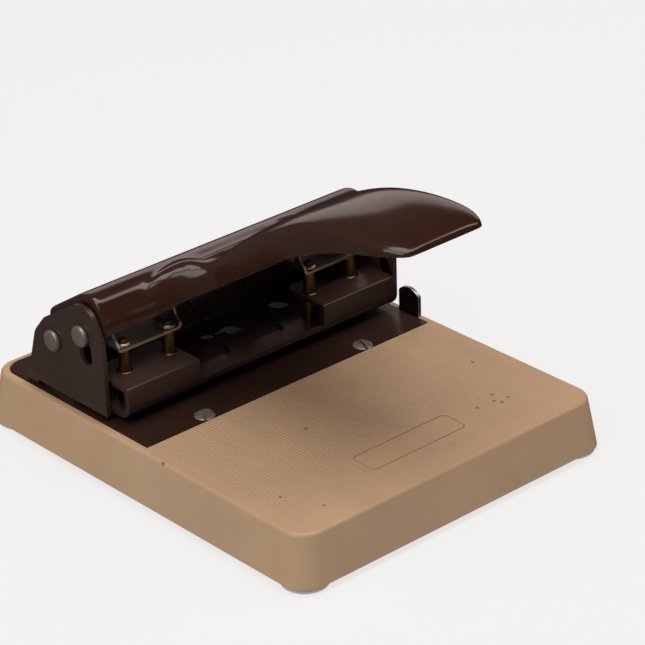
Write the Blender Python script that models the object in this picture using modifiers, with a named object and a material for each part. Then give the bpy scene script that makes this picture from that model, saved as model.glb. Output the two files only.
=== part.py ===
"""Four-hole desk paper punch: moulded base, enamelled plate, pressed punch frame and lever.

Frame: millimetres in the constants, metres in the scene. +Z is up, the origin is the middle of
the base at the height of the feet's undersides. +X runs along the punch mechanism to the right,
-Y is the front, where the lever's lip and the paper are. Run with
    blender --background --python part.py
"""
import math

import bmesh
import bpy
from mathutils import Matrix, Vector

MM = 0.001
GAP = 0.3            # clearance kept between solids that touch on the real object

# ---- driving dimensions, millimetres ---------------------------------------------------------
# base
BASE_TOP = 22.8      # height of the base's top face over the table
BASE_BOTTOM = 2.4    # lower edge of the base's walls
BASE_HALF_X = 73.2   # half width of the top face, before its edge is rounded
BASE_HALF_Y = 89.2   # half depth of the top face
DRAFT = 2.7          # how far the walls lean out at the bottom
BASE_CORNER = 9.6
BASE_EDGE = 1.5
WALL = 2.4
TOP_WALL = 3.0

# top plate, set flush into the base
PLATE_HALF_X = 69.9
PLATE_FRONT = -1.4
PLATE_REAR = 86.4
PLATE_THICK = 1.5
PLATE_CORNER = 8.0
SCREW_X = 39.5
SCREW_Y = 2.6

# bottom cover of the chip space
COVER_HALF_X = 52.0
COVER_Z = 3.4
COVER_THICK = 1.8

# punches: 21-70-21 mm spacing
PUNCH_X = (-56.0, -35.0, 35.0, 56.0)
PUNCH_Y = 27.6
PUNCH_R = 2.75
SHANK_R = 2.3        # slimmer part of the punch above the deck
SHANK_Z = 37.9       # lower end of the shank at rest
PUNCH_TIP = 25.7     # height of the cutting end at rest
NECK_R = 1.6         # punch neck inside the carrier
DIE_R = 4.4

# punch frame, pressed from 2 mm sheet
SHEET = 2.0
PAPER_GAP = 2.3
CHEEK_X = 68.8       # outer face of each cheek
FRAME_FRONT = 14.4   # outer face of the front wall
DECK_Z = 38.3        # top of the side decks
DECK_REAR = 37.2
LIP_Z = 29.9         # top of the low front wall between the decks
BLOCK_IN = 30.8      # inner end of each deck, from the middle
BLOCK_OUT = 65.0     # outer end of each deck, from the middle
REAR_WALL_Y = 54.6
REAR_WALL_Z = 39.4

# linkage
PIVOT = (52.9, 46.3)          # y, z of the pivot shaft
DRIVE = (35.3, 54.4)          # y, z of the drive shaft at rest
SHAFT_R = 3.0
HEAD_R = 4.2
LEVER_TURN = 24.0             # degrees that the lever turns down
SLOT_HALF = 3.5

# carriers, one for each pair of punches
CARRIER_Z = 47.5              # underside of the carrier's plate at rest
CARRIER_THICK = 1.2
CARRIER_END = 4.6             # plate beyond the punch centres

# return springs
COIL_R = 4.6
WIRE_R = 0.55

# lever shell
SHELL = 1.6
TUBE_HALF_X = 66.1
TUBE_LOW = 56.2              # front lower edge at the tube's ends
TUBE_ARCH = 59.4             # the same edge at the middle, between the carriers

# feet and paper stop
FOOT_R = 8.9
FOOT_BOSS_R = 6.0
STOP_FRONT = 4.7
STOP_REAR = 15.9
STOP_THICK = 1.6
STOP_Z = 19.3                 # underside of the stop's sliding strip

parts = None
cutters = None


# ---- scene and materials ---------------------------------------------------------------------
def start_scene():
    """Empty the scene and make the two collections."""
    global parts, cutters
    for obj in list(bpy.data.objects):
        bpy.data.objects.remove(obj, do_unlink=True)
    parts = bpy.data.collections.new("hole_punch")
    cutters = bpy.data.collections.new("hole_punch_cutters")
    bpy.context.scene.collection.children.link(parts)
    bpy.context.scene.collection.children.link(cutters)


def material(name, colour, roughness, metallic):
    """Return a Principled material, made once for each name."""
    found = bpy.data.materials.get(name)
    if found:
        return found
    mat = bpy.data.materials.new(name)
    mat.use_nodes = True
    shader = mat.node_tree.nodes["Principled BSDF"]
    shader.inputs["Base Color"].default_value = (*colour, 1.0)
    shader.inputs["Roughness"].default_value = roughness
    shader.inputs["Metallic"].default_value = metallic
    return mat


def beige():
    return material("beige_base", (0.47, 0.33, 0.21), 0.55, 0.0)


def brown_gloss():
    return material("brown_enamel", (0.055, 0.026, 0.016), 0.2, 0.0)


def brown_satin():
    return material("brown_satin", (0.06, 0.036, 0.032), 0.35, 0.0)


def nickel():
    return material("nickel", (0.42, 0.37, 0.34), 0.3, 1.0)


def zinc():
    return material("zinc", (0.52, 0.5, 0.46), 0.35, 1.0)


def brass():
    return material("brass", (0.55, 0.36, 0.14), 0.35, 1.0)


def black_wire():
    return material("black_wire", (0.02, 0.018, 0.017), 0.35, 0.6)


def pale_rubber():
    return material("pale_rubber", (0.72, 0.66, 0.64), 0.5, 0.0)


def dark_plastic():
    return material("dark_plastic", (0.1, 0.075, 0.06), 0.6, 0.0)


# ---- modelling helpers -----------------------------------------------------------------------
def add_object(name, mesh, mat, group=None):
    """Put a mesh in the scene, as a part or in the named group."""
    obj = bpy.data.objects.new(name, mesh)
    (group or parts).objects.link(obj)
    if mat is not None:
        mesh.materials.clear()
        mesh.materials.append(mat)
    return obj


def as_cutter(obj):
    """Keep an object only as the operand of a Boolean."""
    for group in list(obj.users_collection):
        group.objects.unlink(obj)
    cutters.objects.link(obj)
    obj.hide_render = True
    obj.display_type = "WIRE"
    return obj


def boolean(obj, other, operation):
    """Join, cut or intersect obj with another object, which becomes a guide."""
    as_cutter(other)
    mod = obj.modifiers.new(operation.lower() + "_" + other.name, "BOOLEAN")
    mod.operation = operation
    mod.object = other
    return obj


def cut(obj, *others):
    for other in others:
        boolean(obj, other, "DIFFERENCE")
    return obj


def join(obj, *others):
    for other in others:
        boolean(obj, other, "UNION")
    return obj


def smooth(obj, angle=35.0):
    """Shade a round piece smooth, with its hard edges kept."""
    obj.data.shade_smooth()
    obj.data.set_sharp_from_angle(angle=math.radians(angle))
    return obj


def mesh_from(bm, name):
    mesh = bpy.data.meshes.new(name)
    bmesh.ops.recalc_face_normals(bm, faces=bm.faces)
    bm.to_mesh(mesh)
    bm.free()
    return mesh


def box(name, low, high, mat=None, bevel=0.0, segments=2):
    """A cube primitive stretched between two corners, with an optional bevel on all edges."""
    bm = bmesh.new()
    bmesh.ops.create_cube(bm, size=1.0)
    low, high = Vector(low) * MM, Vector(high) * MM
    bmesh.ops.scale(bm, vec=high - low, verts=bm.verts)
    bmesh.ops.translate(bm, vec=(low + high) / 2, verts=bm.verts)
    if bevel:
        bmesh.ops.bevel(bm, geom=bm.edges[:], offset=bevel * MM, segments=segments,
                        profile=0.5, affect="EDGES")
    return add_object(name, mesh_from(bm, name), mat)


def cylinder(name, radius, start, end, mat=None, sides=16, bevel=0.0):
    """A cylinder primitive from start to end, with an optional bevel on both rims."""
    start, end = Vector(start) * MM, Vector(end) * MM
    bm = bmesh.new()
    bmesh.ops.create_cone(bm, cap_ends=True, segments=sides, radius1=radius * MM,
                          radius2=radius * MM, depth=(end - start).length)
    if bevel:
        rims = [e for e in bm.edges if abs(e.verts[0].co.z - e.verts[1].co.z) < 1e-9]
        bmesh.ops.bevel(bm, geom=rims, offset=bevel * MM, segments=2, profile=0.5,
                        affect="EDGES")
    turn = Vector((0, 0, 1)).rotation_difference((end - start).normalized())
    bmesh.ops.transform(bm, matrix=Matrix.Translation((start + end) / 2)
                        @ turn.to_matrix().to_4x4(), verts=bm.verts)
    return smooth(add_object(name, mesh_from(bm, name), mat))


def turned(name, profile, place, mat=None, steps=16, axis="Z"):
    """A Screw-modifier turning of (radius, height) points, listed from the top down."""
    bm = bmesh.new()
    verts = [bm.verts.new((r * MM, 0, h * MM)) for r, h in profile]
    for first, second in zip(verts, verts[1:]):
        bm.edges.new((first, second))
    mesh = bpy.data.meshes.new(name)
    bm.to_mesh(mesh)
    bm.free()
    obj = add_object(name, mesh, mat)
    screw = obj.modifiers.new("turn", "SCREW")
    screw.axis = "Z"
    screw.steps = steps
    screw.render_steps = steps
    screw.use_merge_vertices = True
    screw.merge_threshold = 0.00001
    obj.location = Vector(place) * MM
    if axis == "X":
        obj.rotation_euler = (0, math.pi / 2, 0)
    return obj


def arc(centre, radius, start, end, count):
    """Points on an arc, angles in degrees."""
    points = []
    for k in range(count + 1):
        angle = math.radians(start + (end - start) * k / count)
        points.append((centre[0] + radius * math.cos(angle),
                       centre[1] + radius * math.sin(angle)))
    return points


def rounded(corners, closed=True, count=4):
    """Replace each (x, y, radius) corner by its fillet arc."""
    points = []
    total = len(corners)
    for k, (x, y, radius) in enumerate(corners):
        here = Vector((x, y))
        if not radius or (not closed and k in (0, total - 1)):
            points.append((x, y))
            continue
        before = Vector(corners[k - 1][:2]) - here
        after = Vector(corners[(k + 1) % total][:2]) - here
        half = before.angle(after) / 2
        reach = radius / math.tan(half)
        first = here + before.normalized() * reach
        last = here + after.normalized() * reach
        centre = here + (before.normalized() + after.normalized()).normalized() * (
            radius / math.sin(half))
        sweep = (first - centre).angle_signed(last - centre)
        start = first - centre
        for step in range(count + 1):
            turn = Matrix.Rotation(-sweep * step / count, 2)
            point = centre + turn @ start
            points.append((point.x, point.y))
    return points


def strip(path, thick):
    """Outline of a bent sheet: the path, and the same path offset to its left by thick."""
    inner = []
    for k, point in enumerate(path):
        before = Vector(path[max(k - 1, 0)])
        after = Vector(path[min(k + 1, len(path) - 1)])
        along = (after - before).normalized()
        normal = Vector((-along.y, along.x))
        if 0 < k < len(path) - 1:
            ahead = (after - Vector(point)).normalized()
            miter = Vector((-ahead.y, ahead.x)).dot(normal)
            normal = normal / max(miter, 0.5)
        inner.append((point[0] + normal.x * thick, point[1] + normal.y * thick))
    return list(path) + inner[::-1]


def prism(name, outline, low, high, plane="YZ", mat=None, holes=()):
    """A flat outline given thickness: a filled 2D curve, extruded by half its thickness."""
    curve = bpy.data.curves.new(name, "CURVE")
    curve.dimensions = "2D"
    curve.fill_mode = "BOTH"
    curve.extrude = (high - low) / 2 * MM
    for loop in (outline, *holes):
        spline = curve.splines.new("POLY")
        spline.points.add(len(loop) - 1)
        for point, (x, y) in zip(spline.points, loop):
            point.co = (x * MM, y * MM, 0, 1)
        spline.use_cyclic_u = True
    guide = bpy.data.objects.new(name + "_outline", curve)
    bpy.context.scene.collection.objects.link(guide)
    turn = {"XY": Matrix(((1, 0, 0), (0, 1, 0), (0, 0, 1))),
            "YZ": Matrix(((0, 0, 1), (1, 0, 0), (0, 1, 0))),
            "XZ": Matrix(((1, 0, 0), (0, 0, -1), (0, 1, 0)))}[plane]
    shift = {"XY": (0, 0, 1), "YZ": (1, 0, 0), "XZ": (0, -1, 0)}[plane]
    middle = (low + high) / 2 * MM * (-1 if plane == "XZ" else 1)
    guide.matrix_world = Matrix.Translation(Vector(shift) * middle) @ turn.to_4x4()
    return mesh_of_curve(guide, name, mat)


def mesh_of_curve(guide, name, mat):
    """Turn a curve object into a mesh object with welded caps, and remove the curve."""
    bpy.context.view_layer.update()
    seen = guide.evaluated_get(bpy.context.evaluated_depsgraph_get())
    mesh = bpy.data.meshes.new_from_object(seen)
    bm = bmesh.new()
    bm.from_mesh(mesh)
    bmesh.ops.remove_doubles(bm, verts=bm.verts, dist=0.000002)
    bmesh.ops.recalc_face_normals(bm, faces=bm.faces)
    bm.to_mesh(mesh)
    bm.free()
    obj = add_object(name, mesh, mat)
    obj.matrix_world = guide.matrix_world.copy()
    bpy.data.objects.remove(guide, do_unlink=True)
    return obj


def wire(name, points, radius, mat, sides=1):
    """A round wire through points, as a poly curve with a bevel depth and filled caps."""
    curve = bpy.data.curves.new(name, "CURVE")
    curve.dimensions = "3D"
    curve.bevel_depth = radius * MM
    curve.bevel_resolution = sides
    curve.use_fill_caps = True
    spline = curve.splines.new("POLY")
    spline.points.add(len(points) - 1)
    for point, place in zip(spline.points, points):
        point.co = (*(Vector(place) * MM), 1)
    guide = bpy.data.objects.new(name + "_path", curve)
    bpy.context.scene.collection.objects.link(guide)
    return smooth(mesh_of_curve(guide, name, mat), 60)


def drafted_block(name, half_x, half_y, low, high, draft, corner, edge, mat=None):
    """A block with leaning walls, rounded upright corners and a rounded top edge."""
    levels = [(low, draft)]
    if edge:
        slope = math.atan2(draft, high - low)
        centre = edge * (math.sin(slope) - 1) / math.cos(slope)
        for across, height in arc((centre, high - edge), edge, math.degrees(slope), 90, 4):
            levels.append((height, across))
    else:
        levels.append((high, 0.0))
    sections = []
    for height, grow in levels:
        x, y, radius = half_x + grow, half_y + grow, corner + min(grow, 0.0)
        outline = rounded([(-x, -y, radius), (x, -y, radius), (x, y, radius),
                           (-x, y, radius)], count=6)
        sections.append([Vector((px, py, height)) * MM for px, py in outline])
    return loft(name, sections, mat)


# ---- base ------------------------------------------------------------------------------------
def foot_places():
    """Centres of the four feet, which are also the middles of the base's rounded corners."""
    x = BASE_HALF_X + DRAFT - 9.7
    y = BASE_HALF_Y + DRAFT - 9.7
    return [(sx * x, sy * y) for sy in (-1, 1) for sx in (-1, 1)]


def plate_outline(grow=0.0):
    half = PLATE_HALF_X + grow
    front = PLATE_FRONT - grow
    rear = PLATE_REAR + grow
    return rounded([(-half, front, 0), (half, front, 0), (half, rear, PLATE_CORNER),
                    (-half, rear, PLATE_CORNER)])


def base_body():
    """Moulded base: an open-bottomed box with a recess for the plate and corner bosses."""
    obj = drafted_block("base_body", BASE_HALF_X, BASE_HALF_Y, BASE_BOTTOM, BASE_TOP, DRAFT,
                        BASE_CORNER, BASE_EDGE, beige())
    inside = drafted_block("base_cavity", BASE_HALF_X - WALL, BASE_HALF_Y - WALL,
                           BASE_BOTTOM - 1.0, BASE_TOP - TOP_WALL - 3.4, DRAFT + 0.1,
                           BASE_CORNER - WALL, 0)
    cut(obj, inside)
    for k, (x, y) in enumerate(foot_places()):
        join(obj, cylinder("foot_boss_%d" % k, FOOT_BOSS_R, (x, y, BASE_BOTTOM + 0.35),
                           (x, y, BASE_TOP - TOP_WALL - 1.0)))
    for k, side in enumerate((-1, 1)):
        join(obj, cylinder("screw_boss_%d" % k, 5.0, (side * SCREW_X, SCREW_Y, 9.0),
                           (side * SCREW_X, SCREW_Y, BASE_TOP - TOP_WALL)))
    recess = prism("plate_recess", plate_outline(GAP), BASE_TOP - PLATE_THICK - GAP,
                   BASE_TOP + 1.0, "XY")
    window = prism("chip_window", rounded([(-62, 20.0, 3), (62, 20.0, 3), (62, 48.0, 3),
                                           (-62, 48.0, 3)]), 10.0, BASE_TOP, "XY")
    channel = box("stop_channel", (-12.0, STOP_FRONT - GAP, STOP_Z - GAP),
                  (BASE_HALF_X + 5, STOP_REAR + GAP, BASE_TOP + 1.0))
    pocket = box("spring_pocket", (17.0, 7.0, STOP_Z - 1.7), (43.0, 13.6, STOP_Z + 1.0))
    cut(obj, recess, window, channel, pocket)
    for k, (x, y) in enumerate(foot_places()):
        cut(obj, cylinder("foot_socket_%d" % k, 3.3, (x, y, 1.0), (x, y, 12.0)))
    for k, side in enumerate((-1, 1)):
        cut(obj, cylinder("screw_hole_%d" % k, 3.0, (side * SCREW_X, SCREW_Y, 5.0),
                          (side * SCREW_X, SCREW_Y, BASE_TOP + 1.0)))
    for k, (x, y) in enumerate(rivet_places()):
        cut(obj, cylinder("rivet_relief_%d" % k, 3.4, (x, y, 10.0), (x, y, BASE_TOP)))
    slot = box("cover_slot", (-COVER_HALF_X - GAP, 60.0, BASE_BOTTOM - 1.0),
               (COVER_HALF_X + GAP, BASE_HALF_Y + 10.0, COVER_Z + COVER_THICK + GAP))
    cut(obj, slot)
    rib_in, rib_out, ledge = COVER_HALF_X + GAP, COVER_HALF_X + 2.7, COVER_HALF_X - 2.0
    low, over = BASE_BOTTOM + 0.4, COVER_Z + COVER_THICK + GAP
    profile = [(rib_in, low), (rib_out, low), (rib_out, 17.5), (rib_in, 17.5),
               (rib_in, over + 1.8), (ledge, over + 1.8), (ledge, over), (rib_in, over)]
    join(obj, prism("cover_rail_right", profile, -64.0, 64.0, "XZ"),
         prism("cover_rail_left", [(-x, z) for x, z in profile], -64.0, 64.0, "XZ"))
    return obj


def top_plate():
    """Enamelled steel plate with the four die holes and two countersunk screw holes."""
    obj = prism("top_plate", plate_outline(), BASE_TOP - PLATE_THICK, BASE_TOP, "XY",
                brown_satin())
    for k, x in enumerate(PUNCH_X):
        cut(obj, cylinder("die_hole_%d" % k, DIE_R + GAP, (x, PUNCH_Y, BASE_TOP - 5),
                          (x, PUNCH_Y, BASE_TOP + 2)))
    for k, side in enumerate((-1, 1)):
        x = side * SCREW_X
        cut(obj, turned("countersink_%d" % k, [(0, 1.0), (5.4, 1.0), (4.5, 0.0), (3.1, -1.35),
                                               (3.1, -3.0), (0, -3.0)],
                        (x, SCREW_Y, BASE_TOP)))
    for k, (x, y) in enumerate(rivet_places()):
        cut(obj, cylinder("plate_rivet_hole_%d" % k, 1.9, (x, y, BASE_TOP - 5),
                          (x, y, BASE_TOP + 2)))
    return obj


def die_ring(index, x):
    """Hardened ring set into the plate, the punch's cutting edge."""
    low, high = BASE_TOP - PLATE_THICK - 1.5, BASE_TOP
    return smooth_turned("die_ring_%d" % (index + 1), [
        (PUNCH_R + 0.15, high), (DIE_R, high), (DIE_R, low), (PUNCH_R + 0.7, low),
        (PUNCH_R + 0.15, low + 1.0), (PUNCH_R + 0.15, high)], (x, PUNCH_Y, 0), zinc())


def smooth_turned(name, profile, place, mat, steps=16, axis="Z"):
    """A turned piece, smooth but for its corners."""
    obj = turned(name, profile, place, mat, steps, axis)
    obj.modifiers["turn"].use_smooth_shade = True
    return obj


def plate_screw(name, x):
    """Countersunk slotted screw with its slot cut across the head."""
    head = BASE_TOP - 0.05
    obj = smooth_turned(name, [(0, 0), (3.8, 0), (4.0, -0.25), (2.1, -1.9), (1.9, -2.4),
                               (1.9, -12.0), (1.3, -13.2), (0, -13.2)],
                        (x, SCREW_Y, head), nickel())
    slot = box(name + "_slot", (-6, -0.55, -1.0), (6, 0.55, 1.0))
    slot.location = (x * MM, SCREW_Y * MM, head * MM)
    slot.rotation_euler = (0, 0, math.radians(62.0))
    return cut(obj, slot)


def foot(name, x, y):
    """Soft disc foot with a stem pushed up into the base's corner boss."""
    return smooth_turned(name, [(0, 10.0), (2.4, 10.0), (2.9, 9.2), (2.9, BASE_BOTTOM - GAP),
                                (FOOT_R - 0.5, BASE_BOTTOM - GAP), (FOOT_R, 1.7), (FOOT_R, 0.8),
                                (FOOT_R - 0.8, 0.0), (0, 0.0)], (x, y, 0), pale_rubber(), 20)


def bottom_cover():
    """Sliding floor of the chip space, drawn out to the rear by its turned-down grip."""
    rear = BASE_HALF_Y + 0.5
    obj = prism("bottom_cover", rounded([(-COVER_HALF_X, -62.0, 4), (COVER_HALF_X, -62.0, 4),
                                         (COVER_HALF_X, rear, 1), (-COVER_HALF_X, rear, 1)]),
                COVER_Z, COVER_Z + COVER_THICK, "XY", dark_plastic())
    grip = box("cover_grip", (-20, rear - 3.0, 2.7), (20, rear, COVER_Z + 1.0))
    join(obj, grip)
    for k in range(5):
        y = 30.0 + 4.0 * k
        cut(obj, box("cover_groove_%d" % k, (-12, y, COVER_Z - 1.0), (12, y + 1.6,
                                                                     COVER_Z + 0.6)))
    return obj


def paper_stop():
    """Sliding paper stop: a flat strip under the plate with an arched tab bent up."""
    tab_in = 70.9
    middle = (STOP_FRONT + STOP_REAR) / 2
    half = (STOP_REAR - STOP_FRONT) / 2
    path = rounded([(-8.0, STOP_Z, 0), (tab_in + STOP_THICK, STOP_Z, 2.2),
                    (tab_in + STOP_THICK, 40.0, 0)], closed=False)
    obj = prism("paper_stop", strip(path, STOP_THICK), STOP_FRONT, STOP_REAR, "XZ", zinc())
    top = 33.4
    outline = [(STOP_FRONT, STOP_Z - 3), (STOP_REAR, STOP_Z - 3)]
    radius = (half * half + 2.6 * 2.6) / (2 * 2.6)
    spread = math.degrees(math.asin(half / radius))
    outline += arc((middle, top - radius), radius, 90 - spread, 90 + spread, 10)
    keep = prism("stop_arch", outline, -20.0, 80.0, "YZ")
    boolean(obj, keep, "INTERSECT")
    return obj


def stop_spring():
    """Small bowed leaf that holds the paper stop by friction, under the strip."""
    path = [(20.0 + 2.0 * k, STOP_Z - 1.4 + 0.55 * math.sin(math.pi * k / 10))
            for k in range(11)]
    return prism("stop_spring", strip(path, 0.5), 7.3, 13.3, "XZ", zinc())


# ---- punch frame -----------------------------------------------------------------------------
def rivet_places():
    """Two rivets in the foot of each cheek."""
    return [(side * x, y) for side in (-1, 1) for x, y in ((61.0, 68.5), (52.0, 68.5))]


def cheek_outline(front_reach):
    """Side view of a cheek; front_reach moves its front edge forward, below the tube."""
    floor = BASE_TOP + PAPER_GAP - 0.15
    foot_z = BASE_TOP + GAP
    front = FRAME_FRONT - 0.2 if front_reach else 23.0
    rise = 47.5 if front_reach else 52.9
    corners = [(front, floor, 5.5 if front_reach else 0.6), (front, rise, 3.0),
               (24.0, 56.5, 4.0), (28.8, 66.0, 8.0), (37.0, 67.0, 9.0), (58.5, 53.6, 7.5),
               (64.8, 46.2, 8.0), (71.8, foot_z, 0.5), (65.0, foot_z, 1.2),
               (64.6, floor, 0.3)]
    if not front_reach:
        corners.pop(2)
        corners[1] = (23.4, 55.0, 9.0)
    return rounded(corners)


def slot_outline():
    """Arc slot for the drive shaft, concentric with the pivot."""
    dy, dz = DRIVE[0] - PIVOT[0], DRIVE[1] - PIVOT[1]
    reach = math.hypot(dy, dz)
    start = math.degrees(math.atan2(dz, dy)) - 0.8
    end = start + LEVER_TURN + 1.8
    outer = arc(PIVOT, reach + SLOT_HALF, start, end, 6)
    inner = arc(PIVOT, reach - SLOT_HALF, end, start, 6)
    first = arc(arc(PIVOT, reach, end, end, 1)[0], SLOT_HALF, end, end + 180, 6)[1:-1]
    last = arc(arc(PIVOT, reach, start, start, 1)[0], SLOT_HALF, start + 180, start + 360,
               6)[1:-1]
    return outer + first + inner + last


def frame_profile():
    """Bent sheet in side view: deck, front wall, foot curve, floor and low rear wall."""
    floor = BASE_TOP + PAPER_GAP
    outside = rounded([(DECK_REAR, DECK_Z, 0), (FRAME_FRONT, DECK_Z, 1.0),
                       (FRAME_FRONT, floor, 5.5), (REAR_WALL_Y, floor, 6.0),
                       (REAR_WALL_Y, REAR_WALL_Z, 1.0), (REAR_WALL_Y + 4.0, REAR_WALL_Z, 0)],
                      closed=False)
    inside = rounded([(DECK_REAR, DECK_Z - SHEET, 0), (FRAME_FRONT + SHEET, DECK_Z - SHEET, 0.4),
                      (FRAME_FRONT + SHEET, floor + SHEET, 3.5),
                      (REAR_WALL_Y - SHEET, floor + SHEET, 4.0),
                      (REAR_WALL_Y - SHEET, REAR_WALL_Z + SHEET, 3.0),
                      (REAR_WALL_Y + 4.0, REAR_WALL_Z + SHEET, 0)], closed=False)
    return outside + inside[::-1]


def punch_frame():
    """Pressed frame: floor, rear wall, two folded-over decks, a low lip and two cheeks."""
    reach = CHEEK_X - 0.5
    obj = prism("punch_frame", frame_profile(), -BLOCK_OUT, reach, "YZ", brown_satin())
    cut(obj, box("middle_cut", (-BLOCK_IN, FRAME_FRONT - 5, LIP_Z),
                 (BLOCK_IN, DECK_REAR + 2, DECK_Z + 5)))
    floor = BASE_TOP + PAPER_GAP
    join(obj, box("floor_end", (-reach, 24.0, floor + 0.05),
                  (-BLOCK_OUT + 2, REAR_WALL_Y - 7, floor + SHEET - 0.05)))
    join(obj, prism("cheek_left", cheek_outline(False), -CHEEK_X, -CHEEK_X + SHEET),
         prism("cheek_right", cheek_outline(True), CHEEK_X - SHEET, CHEEK_X))
    foot_z = BASE_TOP + GAP
    for side in (-1, 1):
        low, high = sorted((side * 47.0, side * (CHEEK_X - 0.5)))
        join(obj, box("cheek_foot_%d" % (side > 0), (low, 65.5, foot_z + 0.05),
                      (high, 71.4, foot_z + SHEET)))
    cut(obj, prism("drive_slot", slot_outline(), -80, 80))
    cut(obj, cylinder("pivot_hole", SHAFT_R + GAP, (-80, *PIVOT), (80, *PIVOT)))
    for k, x in enumerate(PUNCH_X):
        cut(obj, cylinder("guide_hole_%d" % k, PUNCH_R + GAP, (x, PUNCH_Y, 20),
                          (x, PUNCH_Y, 60)))
    for k, (x, y) in enumerate(rivet_places()):
        cut(obj, cylinder("foot_rivet_hole_%d" % k, 1.9, (x, y, 20), (x, y, 30)))
    keyhole = cylinder("keyhole_round", 4.4, (0, 0, 20), (0, 0, 30))
    keyhole.scale.y, keyhole.location = 1.5, (8.0 * MM, 41.3 * MM, 0)
    cut(obj, keyhole)
    cut(obj, cylinder("keyhole_slot_end", 3.2, (-3.0, 45.0, 20), (-3.0, 45.0, 30)))
    cut(obj, box("keyhole_slot", (-3.0, 42.6, 20), (7.0, 46.4, 30)))
    cut(obj, cylinder("round_hole", 4.3, (34.6, 46.0, 20), (34.6, 46.0, 34)))
    return obj


def frame_rivet(name, x, y):
    """Round-headed rivet through a cheek's foot and the plate."""
    top = BASE_TOP + GAP + SHEET + GAP
    low = BASE_TOP - PLATE_THICK - GAP
    return smooth_turned(name, [(0, top + 1.3), (1.8, top + 1.0), (3.0, top + 0.1), (3.0, top),
                                (1.6, top), (1.6, low), (2.8, low), (2.6, low - 0.9),
                                (0, low - 0.9)], (x, y, 0), nickel(), 10)


# ---- shafts, carriers, punches ---------------------------------------------------------------
def shaft(name, place, head_gap):
    """Plain shaft with a flat riveted head outside each cheek."""
    face = CHEEK_X + head_gap
    end = face + 1.7
    return smooth_turned(name, [(0, end), (HEAD_R - 0.5, end), (HEAD_R, end - 0.4),
                                (HEAD_R, face), (SHAFT_R, face), (SHAFT_R, -face),
                                (HEAD_R, -face), (HEAD_R, 0.4 - end),
                                (HEAD_R - 0.5, -end), (0, -end)], (0, *place), nickel(),
                         axis="X")


def carrier(name, first, second):
    """Folded bracket that holds a pair of punches and hangs on the drive shaft."""
    low, high = first - CARRIER_END, second + CARRIER_END
    front, rear, top = 24.6, 41.0, 62.0
    path = rounded([(low, top, 0), (low, CARRIER_Z, 1.9), (high, CARRIER_Z, 1.9),
                    (high, top, 0)], closed=False, count=4)
    obj = prism(name, strip(path, CARRIER_THICK), front, rear, "XZ", zinc())
    side = rounded([(front - 1, CARRIER_Z - 2, 0), (rear + 1, CARRIER_Z - 2, 0),
                    (rear + 1, 58.4, 0), (36.0, 60.2, 3.0), (30.2, 60.2, 3.0),
                    (27.0, 52.6, 2.0), (front - 1, 49.0, 0)])
    boolean(obj, prism(name + "_side_view", side, low - 5, high + 5), "INTERSECT")
    slot_low, slot_high = DRIVE[0] - 1.9 - 3.45, DRIVE[0] + 3.45
    slot = rounded([(slot_low, DRIVE[1] - 3.45, 3.3), (slot_high, DRIVE[1] - 3.45, 3.3),
                    (slot_high, DRIVE[1] + 3.45, 3.3), (slot_low, DRIVE[1] + 3.45, 3.3)])
    cut(obj, prism(name + "_slot", slot, low - 2, high + 2))
    for k, x in enumerate((first, second)):
        cut(obj, cylinder("%s_hole_%d" % (name, k), NECK_R + GAP, (x, PUNCH_Y, 40),
                          (x, PUNCH_Y, 52)))
    return obj


def punch(name, x):
    """Hollow-ground punch pin with a neck through the carrier."""
    top = CARRIER_Z - GAP
    return smooth_turned(name, [(0, top + 4.4), (NECK_R - 0.3, top + 4.4),
                                (NECK_R, top + 4.1), (NECK_R, top), (SHANK_R, top),
                                (SHANK_R, SHANK_Z + 0.4), (PUNCH_R, SHANK_Z),
                                (PUNCH_R, PUNCH_TIP), (PUNCH_R - 0.35, PUNCH_TIP),
                                (0, PUNCH_TIP + 1.6)],
                         (x, PUNCH_Y, 0), brass())


def punch_clip(name, x):
    """Push-on ring that keeps a punch in its carrier."""
    low = CARRIER_Z + CARRIER_THICK + GAP
    bore, rim = NECK_R + 0.15, NECK_R + 1.45
    return smooth_turned(name, [(bore, low + 1.3), (rim - 0.4, low + 1.3), (rim, low + 0.9),
                                (rim, low), (bore, low), (bore, low + 1.3)],
                         (x, PUNCH_Y, 0), zinc(), 12)


def torsion_spring(name, x):
    """Return spring: a coil on the pivot shaft, one leg on the floor, one under the lever."""
    turns, per_turn, pitch = 4, 12, 1.35
    first_angle, last_angle = 307.0, 48.6 + 360.0
    sweep = turns * 360.0 + last_angle - first_angle
    total = round(sweep / 360.0 * per_turn)
    coil = []
    for k in range(total + 1):
        angle = math.radians(first_angle + sweep * k / total)
        coil.append((x + pitch * turns * k / total, PIVOT[0] + COIL_R * math.cos(angle),
                     PIVOT[1] + COIL_R * math.sin(angle)))
    floor = BASE_TOP + PAPER_GAP + SHEET + WIRE_R + 0.2
    leg = [Vector((x, 27.4, floor)), Vector((x, 30.6, floor)), Vector((x, 31.6, floor + 0.6))]
    start = Vector(coil[0])
    leg += [leg[2].lerp(start, part) for part in (0.33, 0.66)]
    arm = Vector(coil[-1]) + 15.0 * Vector((0, -math.sin(math.radians(last_angle)),
                                            math.cos(math.radians(last_angle))))
    return wire(name, leg + coil + [arm], WIRE_R, black_wire())


# ---- lever -----------------------------------------------------------------------------------
def tube_outline(inset=0.0, open_below=0.0):
    """Side view of the lever's cross tube, open at the bottom."""
    low = -open_below
    corners = [(23.9 + inset, TUBE_LOW + low, 0.0), (23.9 + inset, 61.2, 9.0),
               (30.0 + inset * 0.4, 70.9 - inset, 7.0), (38.4 - inset * 0.2, 69.5 - inset, 9.0),
               (58.5 - inset * 1.1, 56.5 - inset * 0.3, 2.0), (60.3 - inset, 53.4 + low, 0.0)]
    return rounded(corners)


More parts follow.
